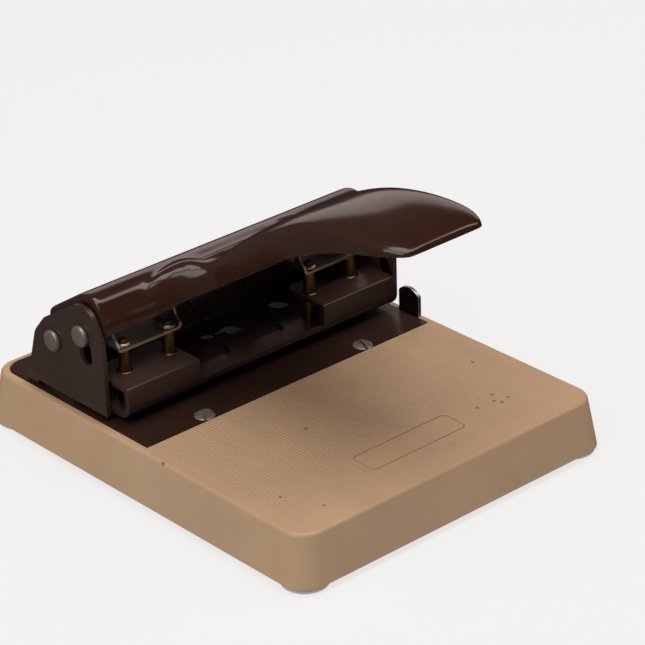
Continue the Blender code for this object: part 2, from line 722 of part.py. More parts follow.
# stations along the lever: y, lower edge z, crown z, half width at the lower edge
STATIONS = [(34.0, 56.4, 69.6, 34.0), (26.5, 58.8, 71.4, 33.0), (20.5, 61.4, 75.0, 28.5),
            (13.0, 65.8, 79.6, 25.4), (4.8, 71.0, 85.8, 24.3), (-5.5, 77.7, 93.1, 24.0),
            (-16.0, 84.5, 100.0, 24.0), (-26.4, 90.6, 105.8, 24.0), (-36.8, 95.6, 110.0, 24.1),
            (-47.0, 99.9, 112.4, 24.2), (-57.0, 103.5, 113.5, 24.2), (-67.0, 106.2, 113.6, 23.9),
            (-75.5, 107.9, 113.2, 22.8), (-81.5, 108.8, 112.5, 20.6), (-84.8, 109.2, 111.6, 18.4),
            (-86.2, 109.4, 110.6, 17.0)]


def lever_section(y, edge, crown, half, inset=0.0, open_below=0.0):
    """One arch-shaped cross section: skirts at the sides, rounded shoulders, a soft crown."""
    half -= inset
    crown -= inset
    height = crown - edge
    points = [(half, edge - open_below), (half * 0.995, edge + height * 0.25)]
    for k in range(9):
        angle = math.radians(10 + 160 * k / 8)
        power = 0.62
        cx = math.copysign(abs(math.cos(angle)) ** power, math.cos(angle))
        sz = math.sin(angle) ** power
        points.append((half * cx * 0.99, edge + height * (0.28 + 0.72 * sz)))
    points += [(-half * 0.995, edge + height * 0.25), (-half, edge - open_below)]
    return [Vector((px, y, pz)) * MM for px, pz in points]


def loft(name, sections, mat=None):
    """A closed solid through unlike sections, with flat ends."""
    bm = bmesh.new()
    loops = [[bm.verts.new(point) for point in section] for section in sections]
    count = len(loops[0])
    for first, second in zip(loops, loops[1:]):
        for k in range(count):
            nxt = (k + 1) % count
            bm.faces.new((first[k], first[nxt], second[nxt], second[k]))
    bm.faces.new(loops[0][::-1])
    bm.faces.new(loops[-1])
    bmesh.ops.recalc_face_normals(bm, faces=bm.faces)
    bmesh.ops.triangulate(bm, faces=bm.faces)
    return add_object(name, mesh_from(bm, name), mat)


def lever():
    """Enamelled lever shell: a cross tube between the cheeks and an arm rising to its lip."""
    obj = prism("lever_shell", tube_outline(), -TUBE_HALF_X, TUBE_HALF_X, "YZ", brown_gloss())
    join(obj, loft("lever_arm", [lever_section(*s) for s in STATIONS]))
    inner_tube = prism("tube_inside", tube_outline(SHELL, 6.0), -TUBE_HALF_X + SHELL,
                       TUBE_HALF_X - SHELL)
    inner_arm = loft("arm_inside", [lever_section(*s, SHELL, 8.0) for s in STATIONS[:-1]])
    reach = TUBE_HALF_X + 2.0
    arch = prism("tube_arch", [(-reach, 40.0), (reach, 40.0), (reach, TUBE_LOW - 0.05),
                               (TUBE_HALF_X - 4, TUBE_LOW + 0.6), (36.0, TUBE_ARCH - 1.0),
                               (32.0, TUBE_ARCH), (-32.0, TUBE_ARCH), (-36.0, TUBE_ARCH - 1.0),
                               (4 - TUBE_HALF_X, TUBE_LOW + 0.6), (-reach, TUBE_LOW - 0.05)],
                 10.0, 29.0, "XZ")
    cut(obj, inner_tube, inner_arm, arch)
    for k, place in enumerate((PIVOT, DRIVE)):
        cut(obj, cylinder("lever_bore_%d" % k, SHAFT_R + GAP, (-80, *place), (80, *place)))
    return obj


# ---- assembly --------------------------------------------------------------------------------
def set_origin(obj, y, z):
    """Move an object's origin to a joint axis without moving the shape."""
    bpy.context.view_layer.update()
    shift = Vector((0, y * MM, z * MM))
    obj.data.transform(Matrix.Translation(-shift) @ obj.matrix_world)
    obj.matrix_world = Matrix.Translation(shift)
    return obj


def build():
    start_scene()
    base_body()
    top_plate()
    bottom_cover()
    paper_stop()
    stop_spring()
    for side, x in (("left", -SCREW_X), ("right", SCREW_X)):
        plate_screw("plate_screw_" + side, x)
    for label, (x, y) in zip(("front_left", "front_right", "rear_left", "rear_right"),
                             foot_places()):
        foot("foot_" + label, x, y)
    punch_frame()
    for k, (x, y) in enumerate(rivet_places()):
        frame_rivet("frame_rivet_%d" % (k + 1), x, y)
    for k, x in enumerate(PUNCH_X):
        die_ring(k, x)
        punch("punch_%d" % (k + 1), x)
        punch_clip("punch_clip_%d" % (k + 1), x)
    carrier("carrier_left", PUNCH_X[0], PUNCH_X[1])
    carrier("carrier_right", PUNCH_X[2], PUNCH_X[3])
    shaft("pivot_shaft", PIVOT, GAP)
    shaft("drive_shaft", DRIVE, GAP)
    torsion_spring("torsion_spring_left", -6.1)
    torsion_spring("torsion_spring_right", 20.9)
    set_origin(lever(), *PIVOT)


build()
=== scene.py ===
"""Looks of the desk paper punch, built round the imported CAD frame.

Millimetres in the constants, metres in the scene, in the CAD's own frame: +Z up, +X to the right
along the row of punches, -Y towards the lever's lip.
"""

from math import asin, atan2, copysign, cos, degrees, hypot, pi, radians, sin, tan

import bmesh
import bpy
import numpy as np
from mathutils import Matrix, Vector


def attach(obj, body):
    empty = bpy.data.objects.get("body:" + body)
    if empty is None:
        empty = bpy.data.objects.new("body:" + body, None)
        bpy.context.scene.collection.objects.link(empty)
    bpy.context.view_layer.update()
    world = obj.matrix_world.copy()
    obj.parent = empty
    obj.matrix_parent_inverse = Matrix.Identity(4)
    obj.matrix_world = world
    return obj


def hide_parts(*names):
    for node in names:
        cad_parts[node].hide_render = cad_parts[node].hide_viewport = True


MM = 0.001
GAP = 0.3
# cutters reach this far to both sides to pass through the whole width
THROUGH = 80.0

# base
BASE_TOP, BASE_BOTTOM = 22.8, 2.4
BASE_HALF_X, BASE_HALF_Y = 73.2, 89.2
DRAFT, BASE_CORNER, BASE_EDGE = 2.7, 9.6, 1.5
WALL, TOP_WALL = 2.4, 3.0
FOOT_X, FOOT_Y, FOOT_R = 66.2, 82.2, 8.9
LABEL_HALF_X, LABEL_HALF_Y, LABEL_Y, LABEL_CORNER = 22.9, 6.1, -65.3, 2.4

# plate
PLATE_HALF_X, PLATE_FRONT, PLATE_REAR = 69.9, -1.4, 86.4
PLATE_THICK, PLATE_CORNER = 1.5, 8.0
SCREWS = ((-39.5, 2.6), (39.5, 2.6))

# punches
PUNCH_X = (-56.0, -35.0, 35.0, 56.0)
PUNCH_Y, PUNCH_R, PUNCH_TIP, NECK_R, DIE_R = 27.6, 2.75, 25.7, 1.6, 4.4
PUNCHES = [(x, PUNCH_Y) for x in PUNCH_X]

# frame
SHEET, PAPER_GAP, CHEEK_X = 2.0, 2.3, 68.8
FRAME_FRONT, DECK_Z, DECK_REAR, LIP_Z = 14.4, 38.3, 37.2, 29.9
BLOCK_IN, BLOCK_OUT = 30.8, 65.0
REAR_WALL_Y, REAR_WALL_Z = 54.6, 39.4

# linkage
PIVOT, DRIVE = (52.9, 46.3), (35.3, 54.4)
SHAFT_R, HEAD_R, LEVER_TURN, SLOT_HALF = 3.0, 4.2, 24.0, 3.5
CARRIER_Z, CARRIER_THICK, CARRIER_END = 47.5, 1.2, 4.6
COIL_R, WIRE_R = 4.6, 0.55
SHELL, TUBE_HALF_X, TUBE_LOW, TUBE_ARCH = 1.6, 66.1, 56.2, 59.4

# stop and cover
STOP_FRONT, STOP_REAR, STOP_THICK, STOP_Z = 4.7, 15.9, 1.6, 19.3
COVER_HALF_X, COVER_Z, COVER_THICK = 52.0, 3.4, 1.8

# stations along the lever: y, lower edge z, crown z, half width at the lower edge
STATIONS = [(34.0, 56.4, 69.6, 34.0), (26.5, 58.8, 71.4, 33.0), (20.5, 61.4, 75.0, 28.5),
            (13.0, 65.8, 79.6, 25.4), (4.8, 71.0, 85.8, 24.3), (-5.5, 77.7, 93.1, 24.0),
            (-16.0, 84.5, 100.0, 24.0), (-26.4, 90.6, 105.8, 24.0), (-36.8, 95.6, 110.0, 24.1),
            (-47.0, 99.9, 112.4, 24.2), (-57.0, 103.5, 113.5, 24.2), (-67.0, 106.2, 113.6, 23.9),
            (-75.5, 107.9, 113.2, 22.8), (-81.5, 108.8, 112.5, 20.6), (-84.8, 109.2, 111.6, 18.4),
            (-86.2, 109.4, 110.6, 17.0)]
# the arm's section is a superelliptic arch, which starts a share of the height above its edge
ARCH_POWER, ARCH_FROM = 0.62, 0.28

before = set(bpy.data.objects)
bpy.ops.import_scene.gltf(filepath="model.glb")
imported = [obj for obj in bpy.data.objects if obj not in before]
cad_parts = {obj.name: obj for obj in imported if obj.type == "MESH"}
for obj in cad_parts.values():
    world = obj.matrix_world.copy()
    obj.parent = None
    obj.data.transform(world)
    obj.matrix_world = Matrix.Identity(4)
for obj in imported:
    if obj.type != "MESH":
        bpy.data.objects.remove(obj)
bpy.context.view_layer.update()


# ---- mesh helpers ----
def link(name, data):
    obj = bpy.data.objects.new(name, data)
    bpy.context.scene.collection.objects.link(obj)
    return obj


def made(name, bm):
    """An object with the faces of a bmesh, which is used up."""
    bmesh.ops.recalc_face_normals(bm, faces=bm.faces)
    mesh = bpy.data.meshes.new(name)
    bm.to_mesh(mesh)
    bm.free()
    return link(name, mesh)


def settle(obj):
    """Apply an object's modifiers and its place to its mesh."""
    bpy.context.view_layer.update()
    seen = obj.evaluated_get(bpy.context.evaluated_depsgraph_get())
    mesh = bpy.data.meshes.new_from_object(seen)
    mesh.transform(obj.matrix_world)
    old = obj.data
    obj.modifiers.clear()
    obj.data = mesh
    obj.matrix_world = Matrix.Identity(4)
    bpy.data.meshes.remove(old)
    return obj


def boolean(obj, others, operation):
    """Join, cut or intersect with other objects at once, which are used up."""
    for other in others:
        mod = obj.modifiers.new("b", "BOOLEAN")
        mod.operation = operation
        mod.solver = "EXACT"
        mod.object = other
    settle(obj)
    for other in others:
        bpy.data.objects.remove(other)
    return obj


def cut(obj, *others):
    return boolean(obj, others, "DIFFERENCE")


def join(obj, *others):
    return boolean(obj, others, "UNION")


def soften(obj, width, segments, angle=50.0):
    """Round the edges over the angle by a small width, in millimetres."""
    mod = obj.modifiers.new("soften", "BEVEL")
    mod.width = width * MM
    mod.segments = segments
    mod.limit_method = "ANGLE"
    mod.angle_limit = radians(angle)
    mod.use_clamp_overlap = False
    mod.miter_outer = "MITER_ARC"
    return settle(obj)


def clean(obj):
    """Weld stray doubles and dissolve slivers left by a Boolean."""
    bm = bmesh.new()
    bm.from_mesh(obj.data)
    tiny = 0.004 * MM
    bmesh.ops.remove_doubles(bm, verts=bm.verts, dist=tiny)
    bmesh.ops.dissolve_degenerate(bm, edges=bm.edges, dist=tiny)
    bm.to_mesh(obj.data)
    bm.free()
    return obj


def shade(obj, angle):
    """Smooth shading that keeps flat faces flat and edges over the angle sharp."""
    obj.data.shade_smooth()
    obj.data.set_sharp_from_angle(angle=radians(angle))
    mod = obj.modifiers.new("even", "WEIGHTED_NORMAL")
    mod.keep_sharp = True
    mod.weight = 100
    return settle(obj)


def smooth(obj, width, segments, shade_angle, edge_angle=50.0):
    return shade(soften(clean(obj), width, segments, edge_angle), shade_angle)


def finish(obj, body, nodes, mat):
    """Give a piece its material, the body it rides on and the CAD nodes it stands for."""
    obj.data.materials.clear()
    obj.data.materials.append(mat)
    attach(obj, body)
    if nodes:
        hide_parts(*nodes)


def box(name, low, high):
    bm = bmesh.new()
    bmesh.ops.create_cube(bm, size=1.0)
    low, high = Vector(low) * MM, Vector(high) * MM
    bmesh.ops.scale(bm, vec=high - low, verts=bm.verts)
    bmesh.ops.translate(bm, vec=(low + high) / 2, verts=bm.verts)
    return made(name, bm)


def cylinder(name, radius, start, end):
    start, end = Vector(start) * MM, Vector(end) * MM
    bm = bmesh.new()
    bmesh.ops.create_cone(bm, cap_ends=True, segments=48, radius1=radius * MM,
                          radius2=radius * MM, depth=(end - start).length)
    turn = Vector((0, 0, 1)).rotation_difference((end - start).normalized())
    bmesh.ops.transform(bm, matrix=Matrix.Translation((start + end) / 2)
                        @ turn.to_matrix().to_4x4(), verts=bm.verts)
    return made(name, bm)


def posts(name, radius, places, low, high):
    """Upright cylinders of one size, one at each (x, y) place."""
    return [cylinder(name, radius, (x, y, low), (x, y, high)) for x, y in places]


def turned(name, profile, place, steps=48, axis="Z"):
    """A closed turning of (radius, height) points, listed from the top down."""
    bm = bmesh.new()
    rings = []
    for r, h in profile:
        angles = [2 * pi * k / steps for k in range(steps)] if r else [0.0]
        rings.append([bm.verts.new((r * MM * cos(a), r * MM * sin(a), h * MM)) for a in angles])
    for first, second in zip(rings, rings[1:]):
        for k in range(steps):
            nxt = (k + 1) % steps
            if len(first) == 1 and len(second) > 1:
                bm.faces.new((first[0], second[k], second[nxt]))
            elif len(second) == 1 and len(first) > 1:
                bm.faces.new((first[k], second[0], first[nxt]))
            elif len(first) > 1:
                bm.faces.new((first[k], second[k], second[nxt], first[nxt]))
    obj = made(name, bm)
    if axis == "X":
        obj.rotation_euler = (0, pi / 2, 0)
    obj.location = Vector(place) * MM
    return settle(obj)


def arc(centre, radius, start, end, count):
    angles = [radians(start + (end - start) * k / count) for k in range(count + 1)]
    return [(centre[0] + radius * cos(a), centre[1] + radius * sin(a)) for a in angles]


def rounded(corners, closed=True, count=10):
    """Replace each (x, y, radius) corner by its fillet arc."""
    points = []
    total = len(corners)
    for k, (x, y, radius) in enumerate(corners):
        here = Vector((x, y))
        if not radius or (not closed and k in (0, total - 1)):
            points.append((x, y))
            continue
        before = Vector(corners[k - 1][:2]) - here
        after = Vector(corners[(k + 1) % total][:2]) - here
        half = before.angle(after) / 2
        reach = radius / tan(half)
        first = here + before.normalized() * reach
        last = here + after.normalized() * reach
        centre = here + (before.normalized() + after.normalized()).normalized() * (
            radius / sin(half))
        sweep = (first - centre).angle_signed(last - centre)
        start = first - centre
        for step in range(count + 1):
            point = centre + Matrix.Rotation(-sweep * step / count, 2) @ start
            points.append((point.x, point.y))
    return points


def rectangle(low_x, low_y, high_x, high_y, near, far, count=10):
    """A rectangle whose low corners have one radius and whose high corners another."""
    return rounded([(low_x, low_y, near), (high_x, low_y, near), (high_x, high_y, far),
                    (low_x, high_y, far)], count=count)


def strip(path, thick):
    """Outline of a bent sheet: the path, and the same path offset to its left."""
    inner = []
    for k, point in enumerate(path):
        before = Vector(path[max(k - 1, 0)])
        after = Vector(path[min(k + 1, len(path) - 1)])
        normal = (after - before).normalized()
        normal = Vector((-normal.y, normal.x))
        if 0 < k < len(path) - 1:
            ahead = (after - Vector(point)).normalized()
            normal = normal / max(Vector((-ahead.y, ahead.x)).dot(normal), 0.5)
        inner.append((point[0] + normal.x * thick, point[1] + normal.y * thick))
    return list(path) + inner[::-1]


def prism(name, outline, low, high, plane="YZ"):
    """An outline given thickness along the third axis."""
    place = {"XY": lambda a, b, c: (a, b, c), "YZ": lambda a, b, c: (c, a, b),
             "XZ": lambda a, b, c: (a, c, b)}[plane]
    bm = bmesh.new()
    ends = []
    for level in (low, high):
        ends.append([bm.verts.new(Vector(place(a, b, level)) * MM) for a, b in outline])
    count = len(outline)
    bm.faces.new(ends[0])
    bm.faces.new(ends[1][::-1])
    for k in range(count):
        nxt = (k + 1) % count
        bm.faces.new((ends[0][k], ends[1][k], ends[1][nxt], ends[0][nxt]))
    return made(name, bm)


def tube(name, points, radius, sides=16):
    """A round wire through points, with rounded ends."""
    pts = [Vector(p) for p in points]
    rings = []
    normal = None
    for k, point in enumerate(pts):
        ahead = (pts[min(k + 1, len(pts) - 1)] - pts[max(k - 1, 0)]).normalized()
        if normal is None:
            normal = ahead.orthogonal().normalized()
        normal = (normal - ahead * normal.dot(ahead)).normalized()
        side = ahead.cross(normal)
        turns = [2 * pi * j / sides for j in range(sides)]
        rings.append([(point + (normal * cos(a) + side * sin(a)) * radius) * MM
                      for a in turns])
    return shade(soften(loft(name, rings), 0.18, 2), 50)


def drafted_block(name, half_x, half_y, low, high, draft, corner, edge):
    """A block with leaning walls, rounded upright corners and a rounded top edge."""
    levels = [(low, draft)]
    if edge:
        slope = atan2(draft, high - low)
        centre = edge * (sin(slope) - 1) / cos(slope)
        for across, height in arc((centre, high - edge), edge, degrees(slope), 90, 9):
            levels.append((height, across))
    else:
        levels.append((high, 0.0))
    sections = []
    for height, grow in levels:
        x, y, radius = half_x + grow, half_y + grow, corner + min(grow, 0.0)
        outline = rectangle(-x, -y, x, y, radius, radius, 18)
        sections.append([Vector((px, py, height)) * MM for px, py in outline])
    return loft(name, sections)


def loft(name, sections):
    """A closed skin over equally long rings of points, in metres."""
    bm = bmesh.new()
    loops = [[bm.verts.new(point) for point in section] for section in sections]
    count = len(loops[0])
    for first, second in zip(loops, loops[1:]):
        for k in range(count):
            nxt = (k + 1) % count
            bm.faces.new((first[k], first[nxt], second[nxt], second[k]))
    bm.faces.new(loops[0][::-1])
    bm.faces.new(loops[-1])
    return made(name, bm)


def spline(keys, count):
    """Smooth (Catmull-Rom) resampling of a list of equal-length tuples."""
    out = []
    spans = len(keys) - 1
    for step in range(count + 1):
        t = spans * step / count
        k = min(int(t), spans - 1)
        t -= k
        p0, p1 = keys[max(k - 1, 0)], keys[k]
        p2, p3 = keys[k + 1], keys[min(k + 2, spans)]
        out.append(tuple(0.5 * (2 * b + (c - a) * t + (2 * a - 5 * b + 4 * c - d) * t * t
                                + (3 * b - 3 * c + d - a) * t ** 3)
                         for a, b, c, d in zip(p0, p1, p2, p3)))
    return out


# ---- materials ----
class Shader:
    """A Principled material and short ways to wire nodes to it."""

    def __init__(self, name, colour, roughness, metallic=0.0, **sockets):
        self.mat = bpy.data.materials.new(name)
        self.mat.use_nodes = True
        self.tree = self.mat.node_tree
        self.out = self.tree.nodes["Principled BSDF"]
        self.out.inputs["Base Color"].default_value = (*colour, 1)
        self.out.inputs["Roughness"].default_value = roughness
        self.out.inputs["Metallic"].default_value = metallic
        for key, value in sockets.items():
            self.out.inputs[key.replace("_", " ")].default_value = value
        self.coords = self.node("TexCoord", {}).outputs["Object"]

    def feed(self, socket, value):
        """Give a socket a wire from another socket, or a value of its own."""
        if isinstance(value, bpy.types.NodeSocket):
            self.tree.links.new(value, socket)
        else:
            socket.default_value = (*value, 1) if socket.type == "RGBA" else value

    def node(self, kind, sockets, **settings):
        """A node with its settings made and its sockets fed, each by name or number."""
        node = self.tree.nodes.new("ShaderNode" + kind)
        for key, value in settings.items():
            setattr(node, key, value)
        for key, value in sockets.items():
            self.feed(node.inputs[key], value)
        return node

    def apart(self, source):
        """The x, y and z of a vector."""
        return self.node("SeparateXYZ", {0: source}).outputs

    def scaled(self, scale, turn=(0, 0, 0)):
        sockets = {"Vector": self.coords, "Scale": scale, "Rotation": turn}
        return self.node("Mapping", sockets).outputs["Vector"]

    def noise(self, scale, detail=3.0, rough=0.55, vector=None):
        sockets = {"Scale": scale, "Detail": detail, "Roughness": rough,
                   "Vector": vector or self.coords}
        return self.node("TexNoise", sockets).outputs["Fac"]

    def patches(self, scale, low, high, detail=4.0, rough=0.6):
        """0 where the noise is under one level, 1 where it is over the other."""
        return self.ramp(self.noise(scale, detail, rough), (low, 0.0), (high, 1.0))

    def specks(self, scale, size):
        """1 in small scattered dots, 0 elsewhere."""
        cells = self.node("TexVoronoi", {"Scale": scale, "Vector": self.coords})
        return self.ramp(cells.outputs["Distance"], (0.0, 1.0), (size, 0.0))

    def ramp(self, source, *stops):
        """Values, or colours, blended between (place, value) stops."""
        node = self.node("ValToRGB", {"Fac": source})
        elements = node.color_ramp.elements
        while len(elements) < len(stops):
            elements.new(0.5)
        for element, (place, value) in zip(elements, stops):
            element.position = place
            element.color = (*(value if isinstance(value, tuple) else [value] * 3), 1)
        return node.outputs["Color"]

    def fade(self, source, near, far):
        """1 up to one distance, 0 beyond the other, both in millimetres."""
        return self.ramp(source, (near * MM, 1.0), (far * MM, 0.0))

    def mix(self, factor, first, second):
        return self.node("Mix", {0: factor, 6: first, 7: second}, data_type="RGBA").outputs[2]

    def maths(self, operation, first, second=0.5):
        return self.node("Math", {0: first, 1: second}, operation=operation).outputs[0]

    def times(self, first, second):
        return self.maths("MULTIPLY", first, second)

    def tint(self, tone, mask, share, colour):
        """A tone with a share of another colour where the mask is 1."""
        return self.mix(self.times(mask, share), tone, colour)

    def colour(self, source):
        self.feed(self.out.inputs["Base Color"], source)

    def roughness(self, source, *stops):
        self.feed(self.out.inputs["Roughness"], self.ramp(source, *stops))

    def bump(self, *layers):
        """Stack of (height socket, strength, distance in millimetres)."""
        target = self.out
        for height, strength, distance in layers[::-1]:
            sockets = {"Height": height, "Strength": strength, "Distance": distance * MM}
            node = self.node("Bump", sockets)
            self.feed(target.inputs["Normal"], node.outputs["Normal"])
            target = node


# x, y and size of the dark specks on the top face, and of one on the left wall
SPECKS = ((46, -61, 0.6), (43, -65, 0.5), (44.5, -67.7, 0.6), (49, -66.5, 0.5), (35, -64.5, 0.6),
          (-20, -31.5, 0.6), (-59, -62, 0.4), (-52, -77, 0.4), (59, -37.5, 0.5),
          (-73.4, -14.2, 0.8))


def beige_moulding():
    """Warm beige plastic: fine lengthwise ribs on the top face, faint mottling, a few specks."""
    s = Shader("beige_moulding", (0.51, 0.335, 0.20), 0.42, Specular_IOR_Level=0.42)
    x, y, z = s.apart(s.coords)
    across = s.maths("ABSOLUTE", x)
    from_label = s.maths("ABSOLUTE", s.maths("ADD", y, -LABEL_Y * MM))
    top = s.maths("GREATER_THAN", z, (BASE_TOP - 0.12) * MM)
    side = s.fade(across, BASE_HALF_X - 7.7, BASE_HALF_X - 3.7)
    front = s.fade(s.times(y, -1.0), BASE_HALF_Y - 10.2, BASE_HALF_Y - 4.2)
    label = s.times(s.fade(across, LABEL_HALF_X - 0.9, LABEL_HALF_X + 3.1),
                    s.fade(from_label, LABEL_HALF_Y - 0.6, LABEL_HALF_Y + 2.9))
    off_label = s.maths("SUBTRACT", 1.0, s.times(label, 0.8))
    ribbed = s.times(s.times(top, side), s.times(front, off_label))
    wave = s.node("TexWave", {"Vector": s.coords, "Scale": 225.0, "Distortion": 4.6,
                              "Detail": 2.0, "Detail Scale": 0.6}, bands_direction="X")
    ribs = s.times(wave.outputs["Fac"], ribbed)
    streaks = s.times(s.noise(1.0, 4.0, 0.6, s.scaled((900, 26, 200))), ribbed)
    tone = s.mix(s.patches(38.0, 0.3, 0.75), (0.490, 0.318, 0.188), (0.540, 0.360, 0.218))
    tone = s.mix(s.ramp(s.noise(9.0, 2.0, 0.5), (0.4, 0.0), (0.7, 0.45)), tone,
                 (0.525, 0.332, 0.182))
    tone = s.tint(tone, ribs, 0.40, (0.38, 0.24, 0.14))
    tone = s.tint(tone, streaks, 0.30, (0.60, 0.42, 0.27))
    for speck_x, speck_y, size in SPECKS:
        place = (speck_x * MM, speck_y * MM, BASE_TOP * MM)
        away = s.node("VectorMath", {0: s.coords, 1: place}, operation="DISTANCE")
        ragged = s.maths("ADD", away.outputs["Value"], s.times(s.noise(1600.0, 2.0), 0.7 * MM))
        spot = s.ramp(s.times(ragged, 100.0), (0.12 * size + 0.03, 1.0),
                      (0.12 * size + 0.06, 0.0))
        tone = s.tint(tone, spot, 0.7, (0.10, 0.06, 0.035))
    dots = s.times(s.specks(95.0, 0.045), s.patches(24.0, 0.56, 0.6, 2.0, 0.55))
    s.colour(s.tint(tone, dots, 0.85, (0.09, 0.055, 0.035)))
    s.roughness(s.noise(120.0), (0.3, 0.36), (0.7, 0.5))
    s.bump((ribs, 0.9, 0.17), (streaks, 0.7, 0.12), (s.noise(900.0), 0.10, 0.03),
           (dots, -0.5, 0.2))
    return s.mat


def enamel(name, colour, light, rough, peel, painted_shade_from=None):
    """Stove enamel over pressed steel: faint orange peel, dust and fine handling marks.

    Behind the line of y given in the last argument, under the punch frame, painted shade darkens it
    almost to black and it hardly shines.
    """
    s = Shader(name, colour, rough, IOR=1.5)
    tone = s.mix(s.patches(26.0, 0.35, 0.75), colour, light)
    fine = s.noise(1.0, 5.0, 0.7, s.scaled((1400, 90, 1400), (0, 0, 0.5)))
    marks = s.ramp(fine, (0.69, 0.0), (0.76, 1.0))
    tone = s.tint(tone, marks, 0.18, tuple(c * 2.6 + 0.02 for c in colour))
    dust = s.times(s.specks(310.0, 0.11), s.patches(60.0, 0.55, 0.62, 2.0, 0.55))
    tone = s.tint(tone, dust, 0.35, tuple(c * 3.0 + 0.06 for c in colour))
    s.roughness(s.noise(70.0, 4.0, 0.65), (0.3, rough * 0.8), (0.7, rough * 1.3))
    s.bump((s.noise(peel, 2.0), 0.10, 0.05), (s.noise(160.0, 2.0), 0.05, 0.10),
           (marks, -0.05, 0.02))
    if painted_shade_from is not None:
        x, y, _ = s.apart(s.coords)
        low, high, share = painted_shade_from * MM, (painted_shade_from + 8.0) * MM, 0.93
        s.feed(s.out.inputs["Specular IOR Level"], s.ramp(y, (low, 0.5), (high, 0.04)))
        # painted shade: from that line back to y = 56-60 mm, and out to |x| = 60-64 mm, the plate's
        # colour is taken almost to black
        along = s.ramp(y, (low, 0.0), (high, share), (56.0 * MM, share), (60.0 * MM, 0.0))
        inside = s.fade(s.maths("ABSOLUTE", x), 60.0, 64.0)
        tone = s.mix(s.times(along, inside), tone, (0.002, 0.0015, 0.001))
    s.colour(tone)
    return s.mat


def metal(name, colour, dark, rough, grain=(60, 60, 1500), tarnish=0.5, metallic=1.0):
    """Plated steel: drawn grain along one way, patchy tarnish and soft roughness changes."""
    s = Shader(name, colour, rough, metallic)
    lines = s.noise(1.0, 4.0, 0.6, s.scaled(grain))
    patch = s.patches(190.0, 0.42, 0.72, 4.0, 0.65)
    tone = s.tint(colour, patch, tarnish, dark)
    s.colour(s.mix(s.ramp(lines, (0.35, 0.22), (0.65, 0.0)), tone, dark))
    s.roughness(lines, (0.3, rough * 0.8), (0.7, rough * 1.25))
    s.bump((lines, 0.14, 0.02), (patch, 0.08, 0.02))
    return s.mat


def ribbed_steel():
    """Satin strip whose tab is dark and finely ribbed on its inner face."""
    s = Shader("stop_strip", (0.46, 0.44, 0.40), 0.34, 1.0)
    _, y, z = s.apart(s.coords)
    lines = s.noise(1.0, 4.0, 0.6, s.scaled((60, 1500, 60)))
    pitch, above_bend = 1.4, STOP_Z + 1.9
    ribs = s.maths("SINE", s.times(y, 2 * pi / (pitch * MM)))
    ribs = s.times(s.maths("ADD", ribs, 1.0), 0.5)
    facing = s.apart(s.node("NewGeometry", {}).outputs["Normal"])[0]
    inner = s.times(s.maths("LESS_THAN", facing, -0.7),
                    s.maths("GREATER_THAN", z, above_bend * MM))
    dark = s.times(inner, s.ramp(ribs, (0.2, 0.97), (0.9, 0.70)))
    tone = s.mix(s.ramp(lines, (0.35, 0.3), (0.65, 0.0)), (0.50, 0.48, 0.44),
                 (0.28, 0.26, 0.23))
    s.colour(s.mix(dark, tone, (0.022, 0.017, 0.015)))
    s.roughness(lines, (0.3, 0.28), (0.7, 0.42))
    s.bump((lines, 0.12, 0.02), (s.times(ribs, inner), 0.5, 0.15))
    return s.mat


def wire_black():
    """Oiled black spring wire, worn lighter in patches."""
    s = Shader("spring_wire_black", (0.018, 0.015, 0.014), 0.34, 0.55)
    patch = s.patches(420.0, 0.45, 0.7, 3.0, 0.55)
    s.colour(s.tint((0.014, 0.012, 0.011), patch, 0.5, (0.05, 0.042, 0.036)))
    s.roughness(patch, (0.0, 0.26), (1.0, 0.48))
    s.bump((s.noise(1500.0, 2.0), 0.1, 0.02))
    return s.mat


def soft_foot():
    """Pale, slightly see-through soft plastic with a little grime."""
    s = Shader("soft_foot", (0.60, 0.52, 0.50), 0.42, Subsurface_Weight=0.35,
               Subsurface_Scale=0.004)
    grime = s.patches(210.0, 0.45, 0.75)
    s.colour(s.tint((0.62, 0.54, 0.52), grime, 0.45, (0.40, 0.32, 0.30)))
    s.roughness(grime, (0.0, 0.34), (1.0, 0.6))
    s.bump((s.noise(1100.0, 2.0), 0.12, 0.03))
    return s.mat


def cover_plastic():
    """Dark brown plastic with a fine matt grain."""
    s = Shader("cover_plastic_dark", (0.085, 0.062, 0.05), 0.55)
    grain = s.noise(1300.0, 3.0, 0.6)
    s.colour(s.ramp(s.noise(45.0, 4.0), (0.3, (0.072, 0.052, 0.042)), (0.7, (0.10, 0.075, 0.06))))
    s.roughness(grain, (0.3, 0.48), (0.7, 0.66))
    s.bump((grain, 0.35, 0.05))
    return s.mat


BEIGE = beige_moulding()
LEVER_ENAMEL = enamel("lever_enamel_gloss", (0.032, 0.0115, 0.0060), (0.041, 0.0155, 0.0088),
                      0.15, 420.0)
FRAME_ENAMEL = enamel("frame_enamel_satin", (0.038, 0.0185, 0.0140), (0.048, 0.025, 0.019),
                      0.32, 700.0)
# the plate is painted almost black with shade behind y = 26 mm, under the punch frame
PLATE_ENAMEL = enamel("plate_enamel_satin", (0.027, 0.0125, 0.0085), (0.038, 0.019, 0.0135),
                      0.25, 520.0, 26.0)
NICKEL = metal("dull_nickel", (0.34, 0.29, 0.25), (0.24, 0.20, 0.17), 0.42, (500, 500, 500),
               0.6, 0.75)
ZINC = metal("zinc_plate", (0.52, 0.49, 0.44), (0.30, 0.27, 0.22), 0.34, (700, 60, 60))
DIE_STEEL = metal("die_steel", (0.42, 0.40, 0.38), (0.24, 0.21, 0.19), 0.3, tarnish=0.4)
BRASS = metal("yellow_passivate", (0.25, 0.155, 0.07), (0.14, 0.085, 0.04), 0.45,
              (900, 900, 60), 0.6)
STOP_STEEL = ribbed_steel()
WIRE_BLACK = wire_black()
FOOT_SOFT = soft_foot()
COVER_DARK = cover_plastic()


